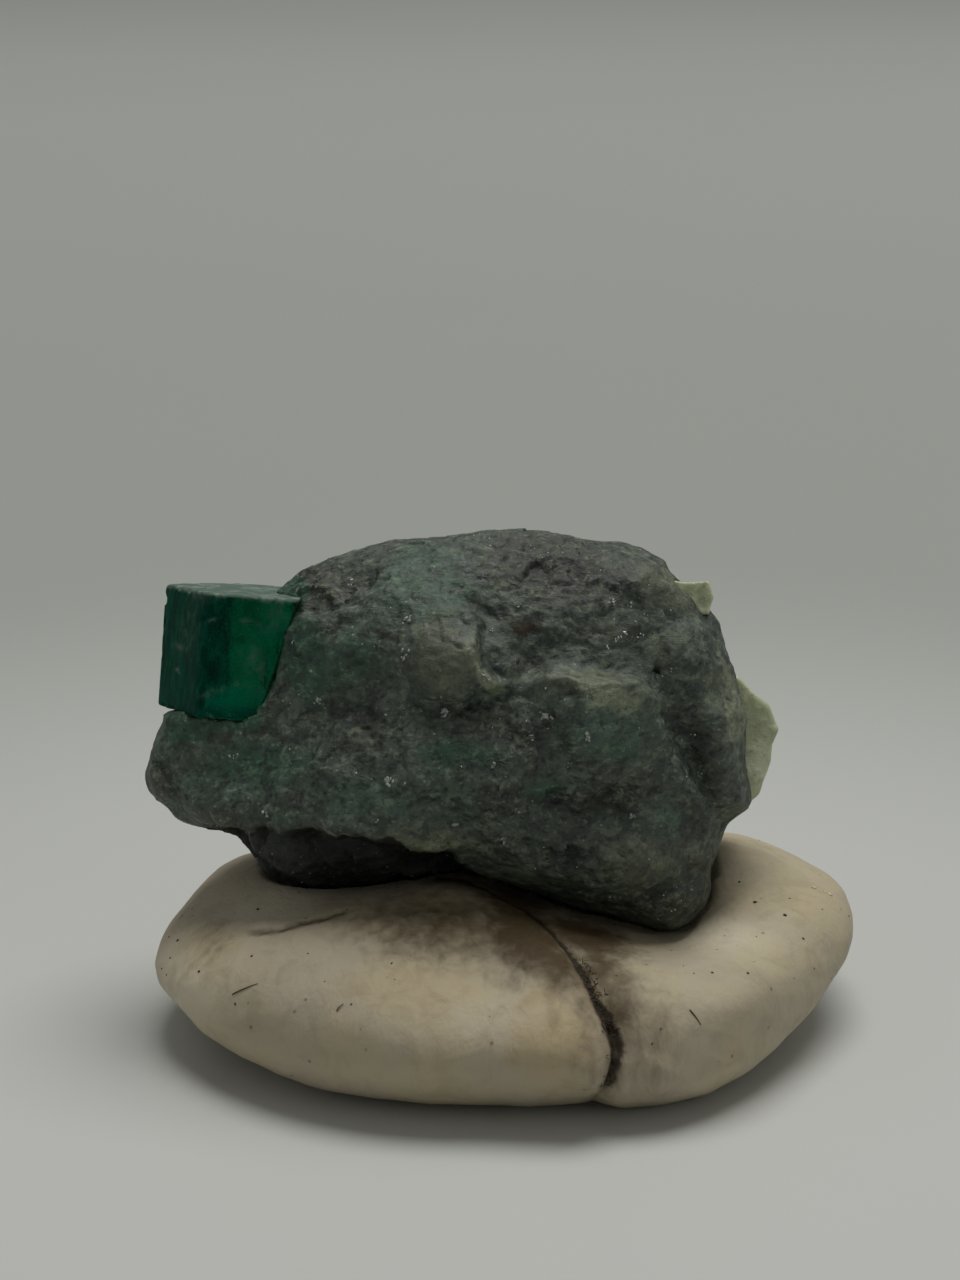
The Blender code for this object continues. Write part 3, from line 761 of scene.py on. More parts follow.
@dataclass(frozen=True)
class PaleCrystalFinish:
    """Waxy yellow-green crystal, cloudy inside."""

    body: Triple = (0.39, 0.43, 0.27)
    milky: Triple = (0.56, 0.59, 0.42)
    stain: Triple = (0.20, 0.22, 0.14)

    def material(self) -> bpy.types.Material:
        """Build the material.

        Returns:
            Cloudy colour with light scattered under the surface.
        """
        material, n = new_material("pale crystal")
        cloud = n.noise(1.1, 4.0, twist=0.7)
        small = n.noise(0.3, 3.0, twist=0.4)
        colour = n.blend(cloud.step(0.4, 0.65), self.body, self.milky)
        colour = n.blend(small.step(0.56, 0.72) * 0.55, colour, self.stain)
        relief = n.bump(small * 0.6 + cloud * 0.4, 0.1)
        n.finish(n.principled({"Base Color": colour, "Roughness": 0.36 + small * 0.25,
                               "Normal": relief, "Subsurface Weight": 0.35,
                               "Subsurface Radius": (1.0, 0.9, 0.5), "Subsurface Scale": 0.0006,
                               "IOR": 1.57}))
        return material


@dataclass(frozen=True)
class PuttyFinish:
    """Cream mineral putty, handled until it is grubby along its folds, with painted shade under the
    rock and in its crease, and painted light in a few places.
    """

    cream: Triple = (0.46, 0.40, 0.27)
    warm: Triple = (0.43, 0.34, 0.19)
    cool: Triple = (0.43, 0.38, 0.285)
    # painted_light: a lighter cream painted where the putty is to look better lit
    painted_light: Triple = (0.72, 0.66, 0.51)
    # brown: random mottle, dirt, and painted shade under the rock and beside the crease
    brown: Triple = (0.058, 0.036, 0.011)
    # soot_and_crease_shade: dirt and painted shade in the crease line
    soot_and_crease_shade: Triple = (0.030, 0.021, 0.011)
    speck: Triple = (0.10, 0.07, 0.045)

    def material(self) -> bpy.types.Material:
        """Build the material.

        Returns:
            Clouded cream, with dirt and painted shade, dark crease lines and painted light where the
            marks on the putty say.
        """
        material, n = new_material("putty")
        broad = n.noise(5.0, 3.0, twist=0.5)
        middle = n.noise(1.4, 4.0, twist=0.8)
        small = n.noise(0.35, 3.0, twist=0.3)
        drawn = n.noise(0.7, 4.0, n.stretched((1.3, 1.0, 0.3), (0.0, 12.0, 0.0)), 0.4)
        colour = n.blend(broad.step(0.35, 0.65), self.cream, self.cool)
        # Painted light: lighter cream where the putty is to look more brightly lit.
        colour = n.blend(n.mark("painted_light") * (0.6 + middle * 0.4), colour, self.painted_light)
        warm = (n.mark("warm") + (middle - 0.5) * 0.9).step(0.15, 0.95)
        colour = n.blend(warm * 0.85, colour, self.warm)
        colour = n.blend(middle.step(0.45, 0.7) * 0.13, colour, self.brown)
        # Dirt and painted shade: darker beside the crease and the wrinkle and under the rock's edge.
        grime_and_shade = (n.mark("grime_and_shade") + (drawn - 0.5) * 0.7 * n.mark("grime_and_shade").step(0.0, 0.3))
        colour = n.blend(grime_and_shade.step(0.05, 0.95) * 0.96, colour, self.brown)
        # The crease line: dirt and painted shade where the fold closes.
        soot_and_crease_shade = (n.mark("soot_and_crease_shade") + (small - 0.5) * 0.6).step(0.25, 0.7)
        colour = n.blend(soot_and_crease_shade * 0.95, colour, self.soot_and_crease_shade)
        dots = n.cells(1.15).step(0.085, 0.05) * middle.step(0.44, 0.56)
        colour = n.blend(dots * 0.6, colour, self.speck)
        relief = n.bump(middle * 0.35 + drawn * 0.65, 0.12)
        relief = n.bump(small, 0.03, 0.8, relief)
        n.finish(n.principled({"Base Color": colour, "Roughness": 0.58 + small * 0.2,
                               "Normal": relief, "Subsurface Weight": 0.12,
                               "Subsurface Radius": (1.0, 0.7, 0.4), "Subsurface Scale": 0.0008,
                               "Specular IOR Level": 0.3}))
        return material


class GrainKind(Enum):
    """Small things on the specimen: name, colour, second colour, roughness and metal."""

    MICA = ("mica", (0.45, 0.48, 0.45), (0.75, 0.78, 0.75), 0.18, 0.35)
    QUARTZ = ("quartz", (0.20, 0.22, 0.19), (0.46, 0.49, 0.44), 0.4, 0.0)
    RESIN = ("resin", (0.55, 0.50, 0.24), (0.78, 0.74, 0.46), 0.25, 0.0)
    SOIL = ("soil", (0.030, 0.020, 0.012), (0.075, 0.045, 0.025), 0.8, 0.0)
    HAIR = ("hair", (0.035, 0.022, 0.012), (0.10, 0.066, 0.036), 0.7, 0.0)

    def material(self) -> bpy.types.Material:
        """A mottled material between the kind's two colours."""
        name, first, second, roughness, metal = self.value
        material, n = new_material(name)
        mottle = n.noise(0.12, 3.0, twist=0.5)
        n.finish(n.principled({"Base Color": n.blend(mottle.step(0.35, 0.65), first, second),
                               "Roughness": roughness + (mottle - 0.5) * 0.12,
                               "Metallic": metal, "Normal": n.bump(mottle, 0.012, 0.6)}))
        return material


# ---------------------------------------------------------------- crystals

@dataclass(frozen=True)
class Crystal:
    """A crystal with flat faces, in the rock's frame.

    Its radius from its middle is the minus p-th root of the sum, over its faces, of the ray's
    share towards the face over the face's distance, to the power p: flat faces whose edges
    are a little rounded. An outline, swept in depth, counts as one more face, whose distance
    is the outline's reach.
    """

    middle: Array
    normals: Array
    reaches: Array
    sharpness: float
    outline: tuple[Pair, ...] = ()

    def radius(self, rays: Array) -> Array:
        """Distance from the middle to the surface along each ray."""
        towards = np.maximum(rays @ self.normals.T, 0.0) / self.reaches
        total = np.sum(towards ** self.sharpness, axis=1)
        if self.outline:
            reach = outline_radius(self.outline, np.arctan2(rays[:, 2], rays[:, 0]))
            total = total + (np.hypot(rays[:, 0], rays[:, 2]) / reach) ** self.sharpness
        return total ** (-1.0 / self.sharpness)

    def clear(self, points: Array) -> Array:
        """How far points stand outside the surface, seen from the middle."""
        away = points - self.middle
        far = np.maximum(np.linalg.norm(away, axis=1), 1e-6)
        return far - self.radius(away / far[:, None])


def crystal_from_faces(rows: list[tuple[Array, Array]], middle: Array, sharpness: float,
                       outline: tuple[Pair, ...] = ()) -> Crystal:
    """A crystal from points on its faces and the faces' outward directions.

    Args:
        rows: a point and an outward direction for each face.
        middle: a point inside.
        sharpness: how crisp its edges are.
        outline: corners of an outline in x and z, about the middle.

    Returns:
        The crystal.
    """
    normals = np.array([np.array(normal) / np.linalg.norm(normal) for _, normal in rows])
    places = np.array([place for place, _ in rows])
    reaches = np.sum((places - middle) * normals, axis=1)
    return Crystal(middle, normals, reaches, sharpness, outline)


SLIDE_STEP = 0.97
SLIDES = 60
HALVINGS = 7


def settle(rays: Array, radius: Array, crystal: Crystal, margin: float) -> Array:
    """Draw a surface back out of a crystal that sits in it.

    Each point inside the crystal slides towards the centre until it is outside, first by
    steps of 3 parts in 100 and then by halving.

    Args:
        rays: directions from the rock's centre.
        radius: distances of the surface.
        crystal: what sits in the surface.
        margin: clearance, or with a minus, how far the surface may reach in.

    Returns:
        The new distances.
    """
    caught = np.flatnonzero(crystal.clear(rays * radius[:, None]) < margin)
    ray = rays[caught]
    inner = radius[caught]
    for _ in range(SLIDES):
        held = crystal.clear(ray * inner[:, None]) < margin
        inner = np.where(held, inner * SLIDE_STEP, inner)
    outer = np.minimum(inner / SLIDE_STEP, radius[caught])
    for _ in range(HALVINGS):
        half = (inner + outer) / 2
        held = crystal.clear(ray * half[:, None]) < margin
        outer = np.where(held, half, outer)
        inner = np.where(held, inner, half)
    settled = radius.copy()
    settled[caught] = inner
    return settled


@dataclass
class Emerald:
    """The stub of a six-sided emerald at the rock's upper left."""

    sides: tuple[float, ...] = (4.1, 5.2, 5.1, 3.7, 5.6, 4.7)
    height: float = 5.3
    front_left: Triple = (-10.36, -4.5, 2.55)
    turn: float = -3.4
    nod: float = 5.5
    lean: float = 4.4
    sharpness: float = 80.0
    cells: int = 104
    chips: tuple[tuple[Triple, Triple], ...] = (
        ((3.4, 8.4, 2.65), (0.35, 0.45, 0.82)), ((-0.3, 8.2, 2.65), (-0.20, 0.55, 0.81)),
        ((4.0, 0.1, -2.62), (0.25, -0.30, -0.92)), ((-2.25, 4.0, 2.62), (-0.60, 0.10, 0.79)),
    )
    covered: tuple[Triple, Triple] = ((-6.25, -4.6, 4.9), (0.945, 0.0, -0.33))
    veils: tuple[tuple[float, ...], ...] = (
        (-8.2, 2.05, 0.5, 0.9, 15, 0.42), (-8.2, 3.9, 0.6, 0.13, -10, 0.5),
        (-7.1, 4.3, 0.5, 0.8, -40, 0.22), (-9.84, 4.05, 0.3, 0.1, 0, 0.8),
        (-9.9, 1.0, 0.5, 0.13, 20, 0.4), (-8.9, 1.4, 0.12, 0.12, 0, 0.9),
        (-11.6, 3.0, 0.5, 0.15, -20, 0.4), (-12.2, 1.3, 0.12, 0.1, 0, 0.9),
        (-11.6, 2.0, 0.12, 0.1, 0, 0.9), (-11.0, 3.9, 0.4, 1.2, -8, 0.16),
        (-10.4, 5.1, 0.6, 0.25, -15, 0.5), (-8.0, 4.9, 1.0, 0.12, -5, 0.8),
        (-7.0, 4.8, 0.5, 0.12, -5, 0.8),
    )
    # Painted glow: where the body is painted brighter green, low on the front.
    bright: tuple[tuple[float, ...], ...] = (
        (-9.3, 0.7, 1.7, 0.8, -4, 0.9), (-8.6, 2.2, 0.9, 1.4, 10, 0.5),
    )
    # A painted shade band on the front face, darker green, carried with the hazed skin.
    shaded: tuple[tuple[float, ...], ...] = ((-10.15, 3.3, 0.3, 1.8, -6, 0.5),)

    def axes(self) -> Array:
        """The crystal's own axes in the rock's frame: turned, nodded, then leant."""
        lean = Matrix.Rotation(math.radians(self.lean), 3, "Y")
        nod = Matrix.Rotation(math.radians(self.nod), 3, "X")
        turn = Matrix.Rotation(math.radians(self.turn), 3, "Z")
        return np.array(lean @ nod @ turn)

    def crystal(self) -> Crystal:
        """The flat-faced form in the rock's frame.

        Returns:
            Six sides that each turn by 60 degrees, two ends, the chips and the face that
            the rock covers.
        """
        turns = np.radians(60.0 * np.arange(6))
        along = np.stack([np.cos(turns), np.sin(turns)], axis=1) * np.array(self.sides)[:, None]
        corners = np.concatenate([[[0.0, 0.0]], np.cumsum(along, axis=0)[:-1]])
        rows = [((x, y, 0.0), (dy, -dx, 0.0)) for (x, y), (dx, dy) in zip(corners, along)]
        rows += [((0.0, 0.0, sign * self.height / 2), (0.0, 0.0, sign)) for sign in (1.0, -1.0)]
        rows += list(self.chips)
        axes = self.axes()
        turned = [(axes @ place + self.front_left, axes @ normal) for place, normal in rows]
        turned.append(self.covered)
        middle = axes @ np.array([*corners.mean(axis=0), 0.0]) + self.front_left
        return crystal_from_faces(turned, middle, self.sharpness)

    def build(self, rock_axes: Array, rock_centre: Triple) -> None:
        """Make the crystal: its flat form with growth lines, and edges that are a little chipped.

        A point is by an edge where the two faces that it is nearest to are about as near.

        Args:
            rock_axes: columns of the rock's frame.
            rock_centre: its centre.
        """
        rays, faces = Skin(self.cells).grid()
        crystal = self.crystal()
        own = rays @ self.axes().T
        radius = crystal.radius(own)
        flat = own * radius[:, None]
        lined = (flat @ self.axes()) * (1.0, 1.0, 0.12)
        radius = radius + lumps(lined, [(0.5, 0.018, 41), (0.22, 0.007, 42)])
        radius = radius + lumps(flat, [(1.7, 0.03, 43), (0.3, 0.006, 44)])
        shares = np.sort(np.maximum(own @ crystal.normals.T, 0.0) / crystal.reaches, axis=1)
        by_edge = smooth_step(0.90, 1.0, shares[:, -2] / shares[:, -1])
        chips = np.maximum(lumps(flat, [(0.45, 1.0, 45)]) - 0.15, 0.0)
        radius = radius - by_edge * chips * 0.28
        points = crystal.middle + own * radius[:, None]
        marks = self.marks(points, flat @ self.axes())
        piece = make_piece("emerald_clear", points @ rock_axes.T + rock_centre, faces,
                           EmeraldFinish().material(), marks)
        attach(piece, "root")
        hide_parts("emerald_crystal")

    def marks(self, points: Array, own: Array) -> dict[str, Array]:
        """Where the crystal's skin is dull, where a pale coat lies on it, on top partly a painted
        reflection, and where painted glow and shade lie in its colour.

        Args:
            points: places in the rock's frame.
            own: places from the middle, on the crystal's own axes.

        Returns:
            A share from 0 to 1 for each point, by name: haze_and_shade, the hazed left face and top
            and a painted shade band on the front; film_and_reflection, a pale coat on top, along the
            upper edge and in a few veils, on top partly a painted reflection; and painted_glow,
            where the body is painted brighter.
        """
        x, z = points[:, 0], points[:, 2]
        top = smooth_step(self.height / 2 - 0.25, self.height / 2 - 0.05, own[:, 2])
        left = smooth_step(3.7, 3.95, -own[:, 0] * 0.87 - own[:, 1] * 0.5)
        veils = patches(x, z, self.veils)
        front = smooth_step(-1.0, -2.0, own[:, 1])
        painted_glow = patches(x, z, self.bright)
        shaded = patches(x, z, self.shaded) * front
        # The hazed left face and top, plus the painted shade band.
        haze_and_shade = np.max([left * 0.97, top, shaded], axis=0)
        # On top the pale coat is partly a painted reflection of the bright surroundings.
        return {"haze_and_shade": haze_and_shade, "film_and_reflection": np.maximum(top, veils * front),
                "painted_glow": painted_glow * front * (1.0 - left)}


@dataclass
class PaleCrystal:
    """A pale crystal that sticks out of the rock's right side."""

    name: str
    outline: tuple[Pair, ...]
    depth: Pair
    cuts: tuple[tuple[Triple, Triple], ...]
    seed: int
    sharpness: float = 46.0
    cells: int = 44

    def crystal(self) -> Crystal:
        """The flat-faced form: its outline, its near and far ends and the cuts."""
        corners = np.array(self.outline)
        rows = [((0.0, y, 0.0), (0.0, sign, 0.0)) for y, sign in zip(self.depth, (-1.0, 1.0))]
        rows += list(self.cuts)
        middle = np.array([corners[:, 0].mean(), sum(self.depth) / 2, corners[:, 1].mean()])
        outline = tuple((x - middle[0], z - middle[2]) for x, z in corners)
        return crystal_from_faces(rows, middle, self.sharpness, outline)

    def build(self, rock_axes: Array, rock_centre: Triple,
              material: bpy.types.Material) -> None:
        """Make the crystal: its flat form, roughened by broken noise.

        Args:
            rock_axes: columns of the rock's frame.
            rock_centre: its centre.
            material: its finish.
        """
        rays, faces = Skin(self.cells).grid()
        crystal = self.crystal()
        radius = crystal.radius(rays)
        flat = rays * radius[:, None]
        radius = radius + lumps(flat, [(0.9, 0.07, self.seed), (0.25, 0.02, self.seed + 1)])
        radius = radius + crags(flat, [(0.6, 0.035, self.seed + 2)])
        points = crystal.middle + rays * radius[:, None]
        piece = make_piece(self.name + "_waxy", points @ rock_axes.T + rock_centre, faces, material)
        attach(piece, "root")
        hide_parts(self.name)


PALE_CRYSTALS = (
    PaleCrystal("pale_crystal_upper",
                ((8.6, 4.0), (11.1, 4.3), (11.3, 5.0), (11.2, 5.4), (11.1, 5.7), (10.1, 5.65),
                 (9.2, 5.8)),
                (-2.6, 1.6),
                (((11.1, -2.9, 5.6), (0.5, -0.62, 0.6)), ((11.3, 1.6, 5.0), (0.6, 0.8, 0.1)),
                 ((10.6, -0.2, 5.8), (0.15, 0.12, 0.98))), 61),
    PaleCrystal("pale_crystal_side",
                ((11.2, -3.2), (12.8, -3.9), (13.4, -3.5), (13.85, -2.0), (13.9, -1.3),
                 (14.2, -0.6), (13.8, 0.4), (13.1, 0.9), (12.4, 1.7), (11.3, 0.9)),
                (-1.2, 3.6),
                (((13.9, -1.2, 0.2), (0.62, -0.75, 0.2)), ((13.3, 3.2, -2.4), (0.62, 0.5, -0.6)),
                 ((12.9, 3.1, 0.9), (0.2, 0.7, 0.68)), ((13.7, 2.4, -0.4), (0.85, 0.52, 0.05)),
                 ((13.2, -0.9, -3.0), (0.5, -0.6, -0.62))), 71),
)


# ---------------------------------------------------------------- the rock

@dataclass
class Rock:
    """The matrix rock: an outline as seen from VIEWPOINT, swept to a rounded block in depth."""

    centre: Triple = (-2.3, 2.7, 13.1)
    front: float = 7.6
    back: float = 8.0
    squareness: float = 2.3
    sharpness: float = 22.0
    cells: int = 127
    outline: tuple[Pair, ...] = (
        (12.8, -2.0), (12.9, -0.2), (12.3, 1.7), (12.0, 2.8), (11.8, 4.0), (11.3, 4.6),
        (10.9, 5.2), (10.1, 5.7), (9.5, 6.2), (9.4, 6.7), (8.4, 7.2), (7.5, 7.5), (6.6, 7.6),
        (4.2, 8.0), (3.5, 8.1), (2.2, 8.0), (1.4, 8.0), (-0.4, 7.8), (-2.1, 7.6), (-3.4, 7.3),
        (-5.1, 6.8), (-6.4, 6.2), (-7.2, 5.6), (-7.8, 5.0), (-8.3, 3.9), (-8.7, 2.4),
        (-9.4, 1.1), (-10.8, 0.5), (-12.4, 0.2), (-12.3, -0.2), (-12.6, -0.8), (-12.8, -1.4),
        (-12.9, -2.0), (-13.1, -2.5), (-13.0, -3.0), (-12.7, -3.5), (-12.2, -3.7),
        (-11.9, -4.3), (-11.2, -4.7), (-10.3, -4.9), (-9.3, -5.0), (-8.8, -5.5), (-8.4, -6.1),
        (-7.8, -6.8), (-6.9, -7.3), (-6.0, -7.5), (-3.4, -7.3), (-0.8, -6.9), (0.9, -6.7),
        (2.2, -7.0), (3.5, -7.5), (4.8, -8.0), (5.9, -8.4), (7.4, -8.8), (8.9, -9.2),
        (9.7, -9.4), (10.6, -8.8), (11.1, -8.2), (11.3, -7.6), (11.3, -6.7), (11.5, -5.9),
        (11.8, -5.2), (12.0, -4.6), (13.0, -3.9),
    )
    broken_faces: tuple[tuple[Triple, float], ...] = (
        ((0.30, -0.94, -0.16), 7.9), ((-0.38, -0.92, -0.10), 7.4), ((0.05, -0.70, 0.71), 7.9),
        ((0.25, 0.93, 0.28), 7.0), ((-0.45, 0.87, -0.20), 7.6), ((0.12, 0.78, -0.61), 7.4),
        ((0.72, 0.66, 0.20), 9.6), ((-0.55, 0.62, 0.56), 8.2), ((0.10, 0.58, 0.81), 8.3),
    )
    swells: tuple[tuple[float, ...], ...] = (
        (-12.5, -2.9, 1.0, 0.9, 0, 0.5), (-10.6, -4.0, 1.9, 1.1, -10, 0.6),
        (-12.2, -1.0, 0.8, 1.0, 0, 0.4), (-5.2, -3.2, 3.2, 1.6, -8, 0.6),
        (0.2, -2.6, 3.4, 2.0, -15, 0.6), (6.8, -0.4, 3.2, 2.3, -8, 1.0),
        (8.2, -6.2, 2.8, 1.3, 5, 0.7), (3.2, -5.6, 2.6, 1.3, -20, 0.4),
        (-0.6, 6.2, 3.2, 1.4, 5, 0.5), (-0.3, 2.6, 1.8, 1.9, 0, 0.9),
        (6.0, 3.9, 3.6, 1.4, -10, -0.35), (3.4, 2.9, 1.3, 1.0, 0, -0.3),
        (9.05, 1.9, 0.22, 0.22, 0, -0.35), (8.6, 5.9, 1.8, 0.9, -25, 0.7),
        (-3.6, 0.9, 2.4, 1.5, 10, -0.5), (11.0, 2.7, 1.3, 1.2, 0, 0.6),
        (10.2, -0.7, 0.6, 1.6, 12, -0.4), (11.9, -1.8, 0.9, 2.2, 0, 0.6),
        (10.4, -8.4, 1.4, 1.0, 0, 0.5),
    )
    lip: tuple[Pair, ...] = (
        (-12.0, -4.6), (-9.4, -4.75), (-6.5, -4.8), (-3.9, -5.05), (-2.1, -5.4), (-0.8, -5.9),
        (0.7, -6.5), (3.2, -7.8),
    )

    def strokes(self) -> tuple[Stroke, ...]:
        """The ledges and grooves of the front."""
        block_top = ((9.6, 0.1), (9.4, 0.7), (8.9, 1.1), (7.6, 1.55), (6.55, 1.75), (4.8, 1.95),
                     (3.9, 1.85), (3.3, 1.5), (2.8, 0.9))
        block_side = ((11.6, -6.2), (11.3, -5.0), (10.9, -3.7), (10.3, -2.4), (9.7, -1.3),
                      (9.5, -0.2), (9.5, 0.8), (9.2, 1.8))
        knob_rim = ((-1.9, 1.2), (-0.9, 0.75), (0.6, 0.7), (1.7, 0.9), (2.5, 1.1), (2.6, 1.2),
                    (2.5, 1.3), (1.9, 1.5), (1.35, 2.0), (1.2, 2.8), (1.3, 3.5), (1.5, 4.1),
                    (1.1, 4.6), (0.3, 4.8), (-0.6, 4.5))
        shoulder = ((-3.0, 7.0), (-3.3, 5.6), (-3.8, 4.9), (-4.8, 4.5), (-6.4, 4.5),
                    (-8.2, 4.7))
        rolled_edge = ((2.4, -6.7), (4.0, -7.1), (5.7, -7.4), (7.4, -7.7), (8.9, -7.6),
                       (10.2, -7.0), (12.0, -6.0))
        return (
            Stroke(self.lip, 1.0, 1.6, 2.8, 9.0, 0.18),
            Stroke(block_top, 0.55, 2.2, 1.0, 2.2, 0.42),
            Stroke(block_side, 0.3, 1.5, 1.1, 1.4, 0.3),
            Stroke(knob_rim, 0.5, 1.1, 0.6, 1.0, 0.24),
            Stroke(shoulder, 0.15, 1.2, 0.8, 2.2, 0.22),
            Stroke(rolled_edge, 0.15, 1.0, 0.8, 1.0, 0.2),
            Stroke(((3.9, -3.5), (5.3, -3.8), (6.6, -3.9), (8.4, -3.1)), depth=0.5, width=0.45),
            Stroke(((-12.7, -1.6), (-12.0, -3.1), (-11.8, -4.3)), depth=0.5, width=0.3),
            Stroke(((-2.2, -3.4), (1.0, -4.7), (4.2, -4.9)), depth=0.3, width=0.6),
            Stroke(((-6.0, -0.6), (-4.9, 0.5), (-3.8, 0.4), (-2.9, -0.3)), depth=0.3, width=0.3),
            Stroke(((3.7, -6.0), (5.3, -6.2), (6.8, -6.0)), depth=0.35, width=0.3),
        )

    def axes(self) -> Array:
        """Columns: right, away and up."""
        return sight_frame(self.centre)

    def plain_radius(self, rays: Array) -> Array:
        """The block without relief.

        The outline's reach and the depth join as a rounded box, whose power is squareness;
        the broken faces cut it as planes with softened edges.

        Args:
            rays: unit directions from the centre.

        Returns:
            Distances from the centre.
        """
        across = np.hypot(rays[:, 0], rays[:, 2])
        reach = outline_radius(self.outline, np.arctan2(rays[:, 2], rays[:, 0]))
        depth = np.where(rays[:, 1] < 0.0, self.front, self.back)
        power = self.squareness
        radius = ((across / reach) ** power + (np.abs(rays[:, 1]) / depth) ** power) ** (-1 / power)
        inverse = radius ** -self.sharpness
        for normal, distance in self.broken_faces:
            towards = np.maximum(rays @ (np.array(normal) / np.linalg.norm(normal)), 0.0)
            inverse += (towards / distance) ** self.sharpness
        return inverse ** (-1 / self.sharpness)

    def surface(self, rays: Array) -> tuple[Array, dict[str, Array]]:
        """The rock's surface: the block plus lumps, moved towards the viewer by the relief.

        Args:
            rays: unit directions from the centre.

        Returns:
            Points in the rock's frame, and the marks that its finish reads.
        """
        plain = rays * self.plain_radius(rays)[:, None]
        facing = smooth_step(0.15, -0.25, rays[:, 1])
        x, z = as_seen(plain, self.centre)
        raised = np.sum([row[5] * oval(x, z, row) for row in self.swells], axis=0)
        bent_x = x + lumps(plain, [(1.5, 0.20, 51), (0.6, 0.12, 52)])
        bent_z = z + lumps(plain, [(1.5, 0.20, 53), (0.6, 0.12, 54)])
        strokes = [stroke.height(bent_x, bent_z) for stroke in self.strokes()]
        raised = raised + np.sum(strokes, axis=0)
        marks = self.marks(plain, x, z, facing)
        crumbly = np.max([marks["dark"], marks["lump"], 0.6 * marks["brown"]], axis=0)
        rough = 0.24 + 0.76 * crumbly * (1.0 - 0.6 * marks["pale"])
        rough = rough * (0.5 + 0.5 * smooth_step(0.03, 0.35, np.abs(rays[:, 1])))
        swell = lumps(plain, [(4.2, 0.34, 11), (1.9, 0.17, 12), (0.9, 0.08, 13)])
        swell = swell * (0.3 + 0.7 * smooth_step(0.05, 0.4, np.abs(rays[:, 1])))
        bent = plain + lumps(plain, [(0.7, 0.15, 20)])[:, None]
        fine = rough * (facets(bent, [(1.6, 0.22, 15), (0.7, 0.14, 16), (0.34, 0.06, 20)])
                        + crags(plain, [(1.1, 0.10, 18)]) + lumps(plain, [(0.4, 0.05, 14)]))
        fine = 0.3 * np.tanh(fine / 0.3)
        layered = lumps(plain * (0.3, 0.8, 1.0), [(0.32, 0.025, 17)])
        pits = np.maximum(lumps(plain * (0.4, 0.8, 1.0), [(0.28, 1.0, 19)]) - 0.3, 0.0)
        layered = layered - pits * 0.09
        # Painted shading: how deep the fine relief sinks, positive in hollows and negative on rises.
        marks["painted_relief_shading"] = np.clip(-(fine + layered) * 4.0, -1.0, 1.0)
        points = plain + rays * (swell + fine + layered)[:, None]
        points[:, 1] -= raised * facing
        return points, marks

